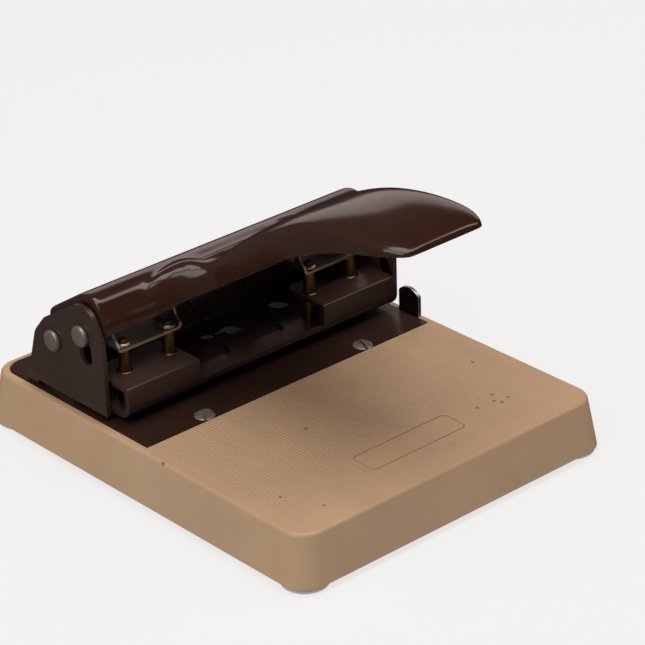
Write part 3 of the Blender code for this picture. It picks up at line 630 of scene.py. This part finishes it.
# ---- base ----
FEET = [(label, sx * FOOT_X, sy * FOOT_Y) for sy, row in ((-1, "front"), (1, "rear"))
        for sx, label in ((-1, row + "_left"), (1, row + "_right"))]
RIVETS = [(side * x, 68.5) for side in (-1, 1) for x in (61.0, 52.0)]


def plate_outline(grow=0.0):
    half, front, rear = PLATE_HALF_X + grow, PLATE_FRONT - grow, PLATE_REAR + grow
    return rectangle(-half, front, half, rear, 0.4, PLATE_CORNER)


def label_frame():
    """Ring-shaped cutter for the empty rounded frame engraved near the front edge."""
    def outline(grow):
        x, y, corner = LABEL_HALF_X + grow, LABEL_HALF_Y + grow, LABEL_CORNER + grow
        return rectangle(-x, LABEL_Y - y, x, LABEL_Y + y, corner, corner)
    half_line, deep = 0.17, 0.22
    ring = prism("label_outer", outline(half_line), BASE_TOP - deep, BASE_TOP + 1, "XY")
    return cut(ring, prism("label_inner", outline(-half_line), BASE_TOP - 1, BASE_TOP + 2, "XY"))


def base_moulding():
    obj = drafted_block("base_moulding", BASE_HALF_X, BASE_HALF_Y, BASE_BOTTOM, BASE_TOP, DRAFT,
                        BASE_CORNER, BASE_EDGE)
    cut(obj, drafted_block("cavity", BASE_HALF_X - WALL, BASE_HALF_Y - WALL, BASE_BOTTOM - 1.0,
                           BASE_TOP - TOP_WALL - 3.4, DRAFT + 0.1, BASE_CORNER - WALL, 0))
    feet_at = [(x, y) for _, x, y in FEET]
    join(obj, *posts("boss", 6.0, feet_at, BASE_BOTTOM + 0.35, BASE_TOP - TOP_WALL - 1.0),
         *posts("screw_boss", 5.0, SCREWS, 9.0, BASE_TOP - TOP_WALL))
    holes = [prism("recess", plate_outline(GAP), BASE_TOP - PLATE_THICK - GAP, BASE_TOP + 1.0,
                   "XY"),
             prism("window", rectangle(-62, 20.0, 62, 48.0, 3, 3), 10.0, BASE_TOP, "XY"),
             box("channel", (-12.0, STOP_FRONT - GAP, STOP_Z - GAP),
                 (BASE_HALF_X + 5, STOP_REAR + GAP, BASE_TOP + 1.0)),
             box("pocket", (17.0, 7.0, STOP_Z - 1.7), (43.0, 13.6, STOP_Z + 1.0)),
             box("cover_slot", (-COVER_HALF_X - GAP, 60.0, BASE_BOTTOM - 1.0),
                 (COVER_HALF_X + GAP, BASE_HALF_Y + 10.0, COVER_Z + COVER_THICK + GAP))]
    cut(obj, *holes, *posts("socket", 3.3, feet_at, 1.0, 12.0),
        *posts("screw_hole", 3.0, SCREWS, 5.0, BASE_TOP + 1.0),
        *posts("relief", 3.4, RIVETS, 10.0, BASE_TOP), label_frame())
    rib_in, rib_out, ledge = COVER_HALF_X + GAP, COVER_HALF_X + 2.7, COVER_HALF_X - 2.0
    low, over = BASE_BOTTOM + 0.4, COVER_Z + COVER_THICK + GAP
    profile = [(rib_in, low), (rib_out, low), (rib_out, 17.5), (rib_in, 17.5),
               (rib_in, over + 1.8), (ledge, over + 1.8), (ledge, over), (rib_in, over)]
    join(obj, prism("rail_right", profile, -64.0, 64.0, "XZ"),
         prism("rail_left", [(-x, z) for x, z in profile], -64.0, 64.0, "XZ"))
    smooth(obj, 0.22, 2, 30)
    finish(obj, "base", ["base_body"], BEIGE)


def plate():
    obj = prism("enamelled_plate", plate_outline(), BASE_TOP - PLATE_THICK, BASE_TOP, "XY")
    sink = [(0, 1.0), (5.4, 1.0), (4.5, 0.0), (3.1, -1.35), (3.1, -3.0), (0, -3.0)]
    cut(obj, *posts("die_hole", DIE_R + GAP, PUNCHES, 10, 30),
        *[turned("countersink", sink, (x, y, BASE_TOP)) for x, y in SCREWS],
        *posts("rivet_hole", 1.9, RIVETS, 10, 30))
    smooth(obj, 0.22, 3, 30)
    finish(obj, "base", ["top_plate"], PLATE_ENAMEL)


def screws():
    head = BASE_TOP + 0.1
    for (x, y), word, slant in zip(SCREWS, ("left", "right"), (54.0, 70.0)):
        obj = turned("slotted_screw_" + word, [
            (0, 0.22), (1.2, 0.2), (2.4, 0.12), (3.4, 0.0), (3.95, -0.18), (4.05, -0.35),
            (2.1, -1.9), (1.9, -2.4), (1.9, -12.0), (1.3, -13.2), (0, -13.2)], (x, y, head), 64)
        slot = box("slot", (-6, -0.5, -0.9), (6, 0.5, 1.0))
        slot.location = (x * MM, y * MM, head * MM)
        slot.rotation_euler = (0, 0, radians(slant))
        smooth(cut(obj, slot), 0.07, 2, 35, 40)
        finish(obj, "base", ["plate_screw_" + word], NICKEL)


def feet():
    for label, x, y in FEET:
        obj = turned("soft_foot_" + label, [
            (0, 10.0), (2.4, 10.0), (2.9, 9.2), (2.9, BASE_BOTTOM - GAP),
            (FOOT_R - 1.0, BASE_BOTTOM - GAP), (FOOT_R - 0.45, 2.0), (FOOT_R - 0.12, 1.75),
            (FOOT_R, 1.4), (FOOT_R, 1.0), (FOOT_R - 0.2, 0.55), (FOOT_R - 0.6, 0.2),
            (FOOT_R - 1.3, 0.0), (5.2, 0.0), (4.9, 0.5), (0, 0.6)], (x, y, 0), 72)
        shade(obj, 40)
        finish(obj, "base", ["foot_" + label], FOOT_SOFT)


def chip_cover():
    rear = BASE_HALF_Y + 0.5
    obj = prism("chip_cover", rectangle(-COVER_HALF_X, -62.0, COVER_HALF_X, rear, 4, 1),
                COVER_Z, COVER_Z + COVER_THICK, "XY")
    join(obj, box("grip", (-20, rear - 3.0, 2.7), (20, rear, COVER_Z + 1.0)))
    cut(obj, *[box("groove", (-12, 30.0 + 4.0 * k, COVER_Z - 1.0),
                   (12, 31.6 + 4.0 * k, COVER_Z + 0.6)) for k in range(5)])
    smooth(obj, 0.3, 2, 30)
    finish(obj, "bottom_cover", ["bottom_cover"], COVER_DARK)


def stop():
    tab = 70.9 + STOP_THICK
    middle, half = (STOP_FRONT + STOP_REAR) / 2, (STOP_REAR - STOP_FRONT) / 2
    path = rounded([(-8.0, STOP_Z, 0), (tab, STOP_Z, 2.4), (tab, 40.0, 0)], closed=False)
    obj = prism("stop_strip", strip(path, STOP_THICK), STOP_FRONT, STOP_REAR, "XZ")
    top, rise = 33.4, 2.6
    radius = (half * half + rise * rise) / (2 * rise)
    spread = degrees(asin(half / radius))
    outline = [(STOP_FRONT, STOP_Z - 3), (STOP_REAR, STOP_Z - 3)]
    outline += arc((middle, top - radius), radius, 90 - spread, 90 + spread, 24)
    boolean(obj, [prism("arch", outline, -20.0, 80.0, "YZ")], "INTERSECT")
    smooth(obj, 0.28, 3, 35)
    finish(obj, "paper_stop", ["paper_stop"], STOP_STEEL)
    leaf = [(20.0 + k, STOP_Z - 1.4 + 0.55 * sin(pi * k / 20)) for k in range(21)]
    spring = prism("drag_leaf", strip(leaf, 0.5), 7.3, 13.3, "XZ")
    shade(soften(spring, 0.08, 1), 40)
    finish(spring, "base", ["stop_spring"], ZINC)


# ---- punch frame ----
def cheek_outline(front_reach):
    floor, foot_z = BASE_TOP + PAPER_GAP - 0.15, BASE_TOP + GAP
    if front_reach:
        front = [(FRAME_FRONT - 0.2, floor, 5.5), (FRAME_FRONT - 0.2, 47.5, 3.0),
                 (24.0, 56.5, 4.0)]
    else:
        front = [(23.0, floor, 0.6), (23.4, 55.0, 9.0)]
    return rounded(front + [(28.8, 66.0, 8.0), (37.0, 67.0, 9.0), (58.5, 53.6, 7.5),
                            (64.8, 46.2, 8.0), (71.8, foot_z, 0.5), (65.0, foot_z, 1.2),
                            (64.6, floor, 0.3)])


def slot_outline():
    dy, dz = DRIVE[0] - PIVOT[0], DRIVE[1] - PIVOT[1]
    reach = hypot(dy, dz)
    start = degrees(atan2(dz, dy)) - 0.8
    end = start + LEVER_TURN + 1.8
    low_end = arc(PIVOT, reach, end, end, 1)[0]
    high_end = arc(PIVOT, reach, start, start, 1)[0]
    return (arc(PIVOT, reach + SLOT_HALF, start, end, 14)
            + arc(low_end, SLOT_HALF, end, end + 180, 14)[1:-1]
            + arc(PIVOT, reach - SLOT_HALF, end, start, 14)
            + arc(high_end, SLOT_HALF, start + 180, start + 360, 14)[1:-1])


def pressed_frame():
    floor, reach = BASE_TOP + PAPER_GAP, CHEEK_X - 0.5
    outside = rounded([(DECK_REAR, DECK_Z, 0), (FRAME_FRONT, DECK_Z, 1.0),
                       (FRAME_FRONT, floor, 5.5), (REAR_WALL_Y, floor, 6.0),
                       (REAR_WALL_Y, REAR_WALL_Z, 1.0), (REAR_WALL_Y + 4.0, REAR_WALL_Z, 0)],
                      closed=False)
    inside = rounded([(DECK_REAR, DECK_Z - SHEET, 0), (FRAME_FRONT + SHEET, DECK_Z - SHEET, 0.4),
                      (FRAME_FRONT + SHEET, floor + SHEET, 3.5),
                      (REAR_WALL_Y - SHEET, floor + SHEET, 4.0),
                      (REAR_WALL_Y - SHEET, REAR_WALL_Z + SHEET, 3.0),
                      (REAR_WALL_Y + 4.0, REAR_WALL_Z + SHEET, 0)], closed=False)
    obj = prism("pressed_frame", outside + inside[::-1], -BLOCK_OUT, reach)
    corner = rounded([(BLOCK_IN - 0.5, DECK_REAR - 4.0, 0), (BLOCK_IN, DECK_REAR - 4.0, 0),
                      (BLOCK_IN, DECK_REAR, 3.6), (BLOCK_IN + 4.0, DECK_REAR, 0),
                      (BLOCK_IN + 4.0, DECK_REAR + 0.5, 0), (BLOCK_IN - 0.5, DECK_REAR + 0.5, 0)])
    cut(obj, prism("corner_right", corner, DECK_Z - 4, DECK_Z + 4, "XY"),
        prism("corner_left", [(-x, y) for x, y in corner], DECK_Z - 4, DECK_Z + 4, "XY"))
    cut(obj, box("middle", (-BLOCK_IN, FRAME_FRONT - 5, LIP_Z),
                 (BLOCK_IN, DECK_REAR + 2, DECK_Z + 5)))
    feet_z = BASE_TOP + GAP
    join(obj, box("floor_end", (-reach, 24.0, floor + 0.05),
                  (-BLOCK_OUT + 2, REAR_WALL_Y - 7, floor + SHEET - 0.05)),
         prism("cheek_left", cheek_outline(False), -CHEEK_X, -CHEEK_X + SHEET),
         prism("cheek_right", cheek_outline(True), CHEEK_X - SHEET, CHEEK_X),
         box("foot_left", (-reach, 65.5, feet_z + 0.05), (-47.0, 71.4, feet_z + SHEET)),
         box("foot_right", (47.0, 65.5, feet_z + 0.05), (reach, 71.4, feet_z + SHEET)))
    key_x, key_y, stretch = 8.0, 41.3, 1.5
    key = cylinder("key_round", 4.4, (0, 0, 20), (0, 0, 30))
    key.scale.y, key.location = stretch, (key_x * MM, key_y * MM, 0)
    holes = [prism("drive_slot", slot_outline(), -THROUGH, THROUGH),
             cylinder("pivot_hole", SHAFT_R + GAP, (-THROUGH, *PIVOT), (THROUGH, *PIVOT)), key,
             *posts("key_end", 3.2, [(-3.0, 45.0)], 20, 30),
             box("key_slot", (-3.0, 42.6, 20), (7.0, 46.4, 30)),
             *posts("round_hole", 4.3, [(34.6, 46.0)], 20, 34),
             *posts("guide", PUNCH_R + GAP, PUNCHES, 20, 60),
             *posts("rivet_hole", 1.9, RIVETS, 20, 30)]
    smooth(cut(obj, *holes), 0.28, 3, 28)
    finish(obj, "base", ["punch_frame"], FRAME_ENAMEL)


def rivets():
    top = BASE_TOP + GAP + SHEET + GAP
    low = BASE_TOP - PLATE_THICK - GAP
    for k, (x, y) in enumerate(RIVETS, 1):
        dome = [(3.0 * sin(radians(a)), top + 0.2 + 1.1 * cos(radians(a)))
                for a in range(15, 91, 15)]
        obj = turned("domed_rivet_%d" % k, [(0, top + 1.3)] + dome + [
            (3.0, top), (1.6, top), (1.6, low), (2.8, low), (2.6, low - 0.9), (0, low - 0.9)],
            (x, y, 0), 32)
        shade(obj, 40)
        finish(obj, "base", ["frame_rivet_%d" % k], NICKEL)


def die_rings():
    low, high = BASE_TOP - PLATE_THICK - 1.5, BASE_TOP
    for k, x in enumerate(PUNCH_X, 1):
        obj = turned("cutting_ring_%d" % k, [
            (PUNCH_R + 0.15, high - 0.05), (PUNCH_R + 0.25, high), (DIE_R - 0.2, high),
            (DIE_R, high - 0.2), (DIE_R, low), (PUNCH_R + 0.7, low), (PUNCH_R + 0.15, low + 1.0),
            (PUNCH_R + 0.15, high - 0.05)], (x, PUNCH_Y, 0), 48)
        shade(clean(obj), 40)
        finish(obj, "base", ["die_ring_%d" % k], DIE_STEEL)


# ---- linkage ----
def shafts():
    face = CHEEK_X + GAP
    end = face + 1.7
    for name, node, place, body in (("pivot_pin", "pivot_shaft", PIVOT, "base"),
                                    ("drive_pin", "drive_shaft", DRIVE, "lever")):
        head = [(0, end), (HEAD_R - 1.4, end - 0.02), (HEAD_R - 0.75, end - 0.12),
                (HEAD_R - 0.28, end - 0.36), (HEAD_R - 0.05, end - 0.75), (HEAD_R, face + 0.3),
                (HEAD_R - 0.1, face), (SHAFT_R, face)]
        obj = turned(name, head + [(r, -h) for r, h in head[::-1]], (0, *place), 64, "X")
        shade(obj, 40)
        finish(obj, body, [node], NICKEL)


def carriers():
    for word, (first, second) in (("left", PUNCH_X[:2]), ("right", PUNCH_X[2:])):
        low, high = first - CARRIER_END, second + CARRIER_END
        front, rear, top = 24.6, 41.0, 62.0
        path = rounded([(low, top, 0), (low, CARRIER_Z, 1.9), (high, CARRIER_Z, 1.9),
                        (high, top, 0)], closed=False, count=8)
        obj = prism("punch_bracket_" + word, strip(path, CARRIER_THICK), front, rear, "XZ")
        side = rounded([(front - 1, CARRIER_Z - 2, 0), (rear + 1, CARRIER_Z - 2, 0),
                        (rear + 1, 58.4, 0), (36.0, 60.2, 3.0), (30.2, 60.2, 3.0),
                        (27.0, 52.6, 2.0), (front - 1, 49.0, 0)])
        boolean(obj, [prism("side", side, low - 5, high + 5)], "INTERSECT")
        play, travel = 3.45, 1.9
        slot = rectangle(DRIVE[0] - travel - play, DRIVE[1] - play, DRIVE[0] + play,
                         DRIVE[1] + play, 3.3, 3.3)
        necks = posts("neck_hole", NECK_R + GAP, [(first, PUNCH_Y), (second, PUNCH_Y)], 40, 52)
        cut(obj, prism("slot", slot, low - 2, high + 2), *necks)
        smooth(obj, 0.18, 2, 32)
        finish(obj, "carrier_" + word, ["carrier_" + word], ZINC)


def punches():
    top = CARRIER_Z - GAP
    low = CARRIER_Z + CARRIER_THICK + GAP
    for k, x in enumerate(PUNCH_X, 1):
        body = "carrier_left" if x < 0 else "carrier_right"
        pin = turned("punch_pin_%d" % k, [
            (0, top + 4.4), (NECK_R - 0.4, top + 4.4), (NECK_R, top + 4.0), (NECK_R, top + 0.1),
            (2.1, top), (2.3, top - 0.2), (2.3, 38.3), (PUNCH_R, 37.9), (PUNCH_R, PUNCH_TIP + 0.05),
            (PUNCH_R - 0.08, PUNCH_TIP), (PUNCH_R - 0.5, PUNCH_TIP + 0.3),
            (PUNCH_R - 1.4, PUNCH_TIP + 1.1), (0, PUNCH_TIP + 1.6)], (x, PUNCH_Y, 0), 48)
        shade(pin, 40)
        finish(pin, body, ["punch_%d" % k], BRASS)
        bore, rim = NECK_R + 0.15, NECK_R + 1.45
        ring = turned("retaining_ring_%d" % k, [
            (bore, low + 1.3), (rim - 0.4, low + 1.3), (rim, low + 0.9), (rim, low + 0.2),
            (rim - 0.2, low), (bore, low), (bore, low + 1.3)], (x, PUNCH_Y, 0), 40)
        shade(clean(ring), 40)
        finish(ring, body, ["punch_clip_%d" % k], ZINC)


def springs():
    floor = BASE_TOP + PAPER_GAP + SHEET + WIRE_R + 0.2
    width, per_turn, arm_length, bend_r = 5.4, 40, 11.0, 1.8
    first_angle, last_angle = 307.0, 5 * 360.0 + 74.0
    sweep = last_angle - first_angle
    total = round(sweep / 360.0 * per_turn)
    for word, x in (("left", -6.1), ("right", 20.9)):
        coil = []
        for k in range(total + 1):
            angle = radians(first_angle + sweep * k / total)
            coil.append((x + width * k / total, PIVOT[0] + COIL_R * cos(angle),
                         PIVOT[1] + COIL_R * sin(angle)))
        bend = arc((30.6, floor + 1.75), bend_r, -90, -42, 4)
        leg = [Vector((x, 27.4, floor)), Vector((x, 29.0, floor))]
        leg += [Vector((x, y, z)) for y, z in bend]
        start = Vector(coil[0])
        leg += [leg[-1].lerp(start, part) for part in (0.2, 0.4, 0.6, 0.8)]
        arm = Vector(coil[-1]) + arm_length * Vector((0, -sin(radians(last_angle)),
                                                      cos(radians(last_angle))))
        obj = tube("return_spring_" + word, leg + coil + [Vector(coil[-1]).lerp(arm, 0.5), arm],
                   WIRE_R)
        finish(obj, "base", ["torsion_spring_" + word], WIRE_BLACK)


# ---- lever ----
def tube_outline(below):
    """Side view of the lever's cross tube, reaching below its open underside."""
    return rounded([(23.9, TUBE_LOW - below, 0.0), (23.9, 61.2, 9.0), (30.0, 70.9, 7.0),
                    (38.4, 69.5, 9.0), (58.5, 56.5, 2.0), (60.3, 53.4 - below, 0.0)])


def lever_section(y, edge, crown, half, below):
    """Arch-shaped cross section: upright skirts, rounded shoulders and a soft crown."""
    height = crown - edge
    points = [(half, edge - below), (half * 0.995, edge + height * 0.25)]
    for k in range(25):
        angle = radians(6 + 168 * k / 24)
        across = copysign(abs(cos(angle)) ** ARCH_POWER, cos(angle))
        points.append((half * across * 0.99, edge + height * (
            ARCH_FROM + (1 - ARCH_FROM) * sin(angle) ** ARCH_POWER)))
    points += [(-half * 0.995, edge + height * 0.25), (-half, edge - below)]
    return [Vector((px, y, pz)) * MM for px, pz in points]


def relax(mesh, place, weight, rounds):
    """Weighted Laplacian smoothing of the vertices' places, an array in millimetres."""
    count = len(place)
    ends = np.empty(len(mesh.edges) * 2, dtype=np.int64)
    mesh.edges.foreach_get("vertices", ends)
    ends = ends.reshape(-1, 2)
    here = np.concatenate([ends[:, 0], ends[:, 1]])
    there = np.concatenate([ends[:, 1], ends[:, 0]])
    degree = np.maximum(np.bincount(here, minlength=count), 1)
    for _ in range(rounds):
        mean = np.stack([np.bincount(here, place[there, axis], count) for axis in range(3)], 1)
        place = place + 0.5 * weight[:, None] * (mean / degree[:, None] - place)
    return place


def ease(value, low, high):
    part = np.clip((value - low) / (high - low), 0.0, 1.0)
    return part * part * (3 - 2 * part)


def outline_distance(outline, y, z):
    """Signed distance to a closed outline, negative inside."""
    best = np.full(len(y), 1e9)
    inside = np.zeros(len(y), dtype=bool)
    for (ay, az), (by, bz) in zip(outline, outline[1:] + outline[:1]):
        ey, ez = by - ay, bz - az
        part = np.clip(((y - ay) * ey + (z - az) * ez) / (ey * ey + ez * ez + 1e-12), 0, 1)
        best = np.minimum(best, np.hypot(y - ay - part * ey, z - az - part * ez))
        crosses = (az > z) != (bz > z)
        inside ^= crosses & (y < ay + (z - az) * ey / (ez if ez else 1e-12))
    return np.where(inside, -best, best)


def arm_distance(stations, x, y, z):
    """First-order distance to the arm's rounded section at each y."""
    rows = np.array(stations)[::-1]
    edge, crown, half = (np.interp(y, rows[:, 0], rows[:, k]) for k in (1, 2, 3))
    power = 2 / ARCH_POWER
    height = (1 - ARCH_FROM) * (crown - edge)
    across = np.abs(x) / (half * 0.99)
    up = np.maximum(z - crown + height, 0.0) / height
    size = np.maximum((across ** power + up ** power) ** (1 / power), 1e-6)
    slope = size ** (1 - power) * np.hypot(across ** (power - 1) / half,
                                           up ** (power - 1) / height)
    return (size - 1) / np.maximum(slope, 1e-4)


def blended(outline, stations, place):
    """Smooth union of tube and arm: below zero inside, with a wide fillet in front."""
    x, y, z = place.T
    tube_far = np.maximum(outline_distance(outline, y, z), np.abs(x) - TUBE_HALF_X)
    arm_far = np.maximum(arm_distance(stations, x, y, z), y - STATIONS[0][0])
    narrow, wide = 1.5, 24.0
    reach = narrow + wide * ease(np.abs(x), 13.0, 30.0) * ease(-y, -36.0, -22.0)
    near = np.maximum(reach - np.abs(tube_far - arm_far), 0.0) / reach
    return np.minimum(tube_far, arm_far) - near * near * reach / 4, near


def onto_blend(outline, stations, place, rounds=8):
    """Walk the points near the junction onto the blended surface."""
    for _ in range(rounds):
        value, near = blended(outline, stations, place)
        pick = (near > 0) & (place[:, 1] < 45) & (place[:, 1] > -40)
        some = place[pick]
        grad = np.stack([blended(outline, stations, some + step)[0]
                         - blended(outline, stations, some - step)[0]
                         for step in np.eye(3) * 0.05], 1) / 0.1
        scale = np.clip(value[pick], -1.5, 1.5) / np.maximum((grad * grad).sum(1), 0.3)
        place[pick] = some - grad * scale[:, None]
    return place


def lever():
    """Deep-drawn shell: the tube and the arm flow into each other, open underneath."""
    below = 14.0
    outline = tube_outline(below)
    obj = prism("lever_pressing", outline, -TUBE_HALF_X, TUBE_HALF_X)
    stations = spline(STATIONS, 90)
    join(obj, loft("arm", [lever_section(*s, below) for s in stations]))
    remesh = obj.modifiers.new("remesh", "REMESH")
    remesh.mode = "VOXEL"
    remesh.voxel_size = 0.75 * MM
    settle(obj)
    place = np.empty(len(obj.data.vertices) * 3)
    obj.data.vertices.foreach_get("co", place)
    place = place.reshape(-1, 3) / MM
    place = onto_blend(outline, stations, place)
    for _ in range(3):
        place = relax(obj.data, place, blended(outline, stations, place)[1] ** 0.5, 12)
        place = onto_blend(outline, stations, place, 4)
    place = relax(obj.data, place, np.ones(len(place)), 12)
    obj.data.vertices.foreach_set("co", (place * MM).ravel())
    obj.data.update()
    edge = [(y, z) for y, z, _, _ in stations if y < 22.0][::-1]
    front = [(-100.0, -10.0), (-100.0, edge[0][1] - 0.15)] + edge + [(22.5, 60.3), (22.5, -10.0)]
    reach = TUBE_HALF_X + 4.0
    right = [(reach, -10.0), (reach, TUBE_LOW), (TUBE_HALF_X - 4, TUBE_LOW + 0.6),
             (36.0, TUBE_ARCH - 1.0), (34.0, TUBE_ARCH - 0.3), (32.0, TUBE_ARCH)]
    arch = [(-reach, -10.0)] + right + [(-x, z) for x, z in right[:0:-1]]
    cutters = [prism("below_arm", front, -THROUGH, THROUGH),
               prism("below_tube", [(22.4, -10), (22.4, TUBE_LOW), (24.0, TUBE_LOW),
                                    (60.3, 53.4), (70.0, 53.4), (70.0, -10.0)],
                     -THROUGH, THROUGH),
               prism("arch", arch, 10.0, 29.0, "XZ")]
    mark = bpy.data.materials.new("opened_below")
    obj.data.materials.clear()
    obj.data.materials.append(LEVER_ENAMEL)
    for cutter in cutters:
        cutter.data.materials.append(mark)
    cut(obj, *cutters)
    bm = bmesh.new()
    bm.from_mesh(obj.data)
    index = [k for k, m in enumerate(obj.data.materials) if m == mark]
    bmesh.ops.delete(bm, geom=[f for f in bm.faces if f.material_index in index],
                     context="FACES")
    bmesh.ops.remove_doubles(bm, verts=bm.verts, dist=0.02 * MM)
    bm.to_mesh(obj.data)
    bm.free()
    bpy.data.materials.remove(mark)
    wall = obj.modifiers.new("wall", "SOLIDIFY")
    wall.thickness = SHELL * MM
    wall.offset = -1.0
    settle(obj)
    shade(obj, 50)
    finish(obj, "lever", ["lever_shell"], LEVER_ENAMEL)


def lever_ears():
    """Flat ears inside the tube's ends, which hang the lever on its pivot and drive it."""
    outline = (arc(DRIVE, 5.2, 175, 262, 10) + arc(PIVOT, 4.5, 240, 380, 14)
               + [(57.6, 56.0), (38.0, 67.4), (31.0, 66.0)])
    for side, word in ((-1, "left"), (1, "right")):
        low, high = sorted((side * (TUBE_HALF_X - SHELL), side * (TUBE_HALF_X - 0.05)))
        obj = prism("lever_ear_" + word, outline, low, high)
        cut(obj, *[cylinder("bore", SHAFT_R + GAP, (-THROUGH, *place), (THROUGH, *place))
                   for place in (PIVOT, DRIVE)])
        smooth(obj, 0.2, 2, 32)
        finish(obj, "lever", [], LEVER_ENAMEL)


# ---- studio ----
WARM, ROSE = (1.0, 0.965, 0.94), (1.0, 0.84, 0.81)
# name, place, aim, size, radiance and colour of each soft light
LIGHTS = (("rear_low", (1.00, 1.15, 0.42), (0, 0, 0.06), (1.6, 0.60), 0.86, ROSE),
          ("right_near", (0.62, -0.36, 1.22), (0, 0, 0.05), (0.36, 0.45), 3.4, ROSE),
          ("right_far", (1.05, -0.24, 1.06), (0, 0, 0.05), (0.36, 0.45), 3.4, ROSE),
          ("key_left", (-0.95, -0.20, 1.00), (0, 0, 0.05), (0.9, 0.9), 2.7, WARM),
          ("front_fill", (0.30, -1.40, 0.42), (0, 0, 0.03), (0.9, 0.4), 0.3, WARM),
          ("overhead", (0.02, -0.08, 1.50), (0, 0, 0.05), (1.1, 1.1), 3.55, WARM))


def studio():
    """A dim room that is lighter to the upper left, a glowing white floor and soft lights."""
    world = bpy.data.worlds.new("studio")
    world.use_nodes = True
    tree = world.node_tree
    way = tree.nodes.new("ShaderNodeTexCoord")
    toward = tree.nodes.new("ShaderNodeVectorMath")
    toward.operation = "DOT_PRODUCT"
    toward.inputs[1].default_value = (-0.80, 0.35, 0.48)
    ramp = tree.nodes.new("ShaderNodeMapRange")
    for key, value in (("From Min", -0.1), ("From Max", 0.8), ("To Min", 0.02), ("To Max", 0.15)):
        ramp.inputs[key].default_value = value
    tree.links.new(way.outputs["Generated"], toward.inputs[0])
    tree.links.new(toward.outputs["Value"], ramp.inputs["Value"])
    tree.links.new(ramp.outputs[0], tree.nodes["Background"].inputs["Strength"])
    tree.nodes["Background"].inputs["Color"].default_value = (1.0, 0.975, 0.95, 1)
    bpy.context.scene.world = world
    bm = bmesh.new()
    bmesh.ops.create_grid(bm, x_segments=1, y_segments=1, size=6.0)
    floor = made("floor", bm)
    s = Shader("floor", (0.17, 0.17, 0.17), 0.9, Specular_IOR_Level=0.0,
               Emission_Color=(1, 1, 1, 1), Emission_Strength=0.735)
    floor.data.materials.append(s.mat)
    floor.location.z = -0.0002
    floor.visible_glossy = False
    for name, place, aim, size, radiance, colour in LIGHTS:
        lamp = bpy.data.lights.new(name, "AREA")
        lamp.shape = "RECTANGLE"
        lamp.size, lamp.size_y = size
        lamp.energy = radiance * pi * size[0] * size[1]
        lamp.color = colour
        obj = link(name, lamp)
        obj.location = place
        obj.rotation_mode = "QUATERNION"
        obj.rotation_quaternion = (Vector(aim) - Vector(place)).to_track_quat("-Z", "Y")


def camera():
    data = bpy.data.cameras.new("camera")
    data.sensor_width = 36.0
    data.lens = 165.735
    data.clip_start, data.clip_end = 0.05, 20.0
    obj = link("camera", data)
    obj.location = (-0.63452, -0.75029, 0.54731)
    azimuth, elevation, roll = (radians(a) for a in (-40.976, 26.984, -1.952))
    back = Vector((sin(azimuth) * cos(elevation),
                   -cos(azimuth) * cos(elevation), sin(elevation)))
    right = Vector((cos(azimuth), sin(azimuth), 0.0))
    turn = Matrix((right, back.cross(right), back)).transposed() @ Matrix.Rotation(roll, 3, "Z")
    obj.rotation_mode = "QUATERNION"
    obj.rotation_quaternion = turn.to_quaternion()
    bpy.context.scene.camera = obj


bpy.context.scene.view_settings.view_transform = "Standard"
for build in (camera, studio, base_moulding, plate, screws, feet, chip_cover, stop, pressed_frame,
              rivets, die_rings, shafts, carriers, punches, springs, lever, lever_ears):
    build()

bpy.context.view_layer.update()
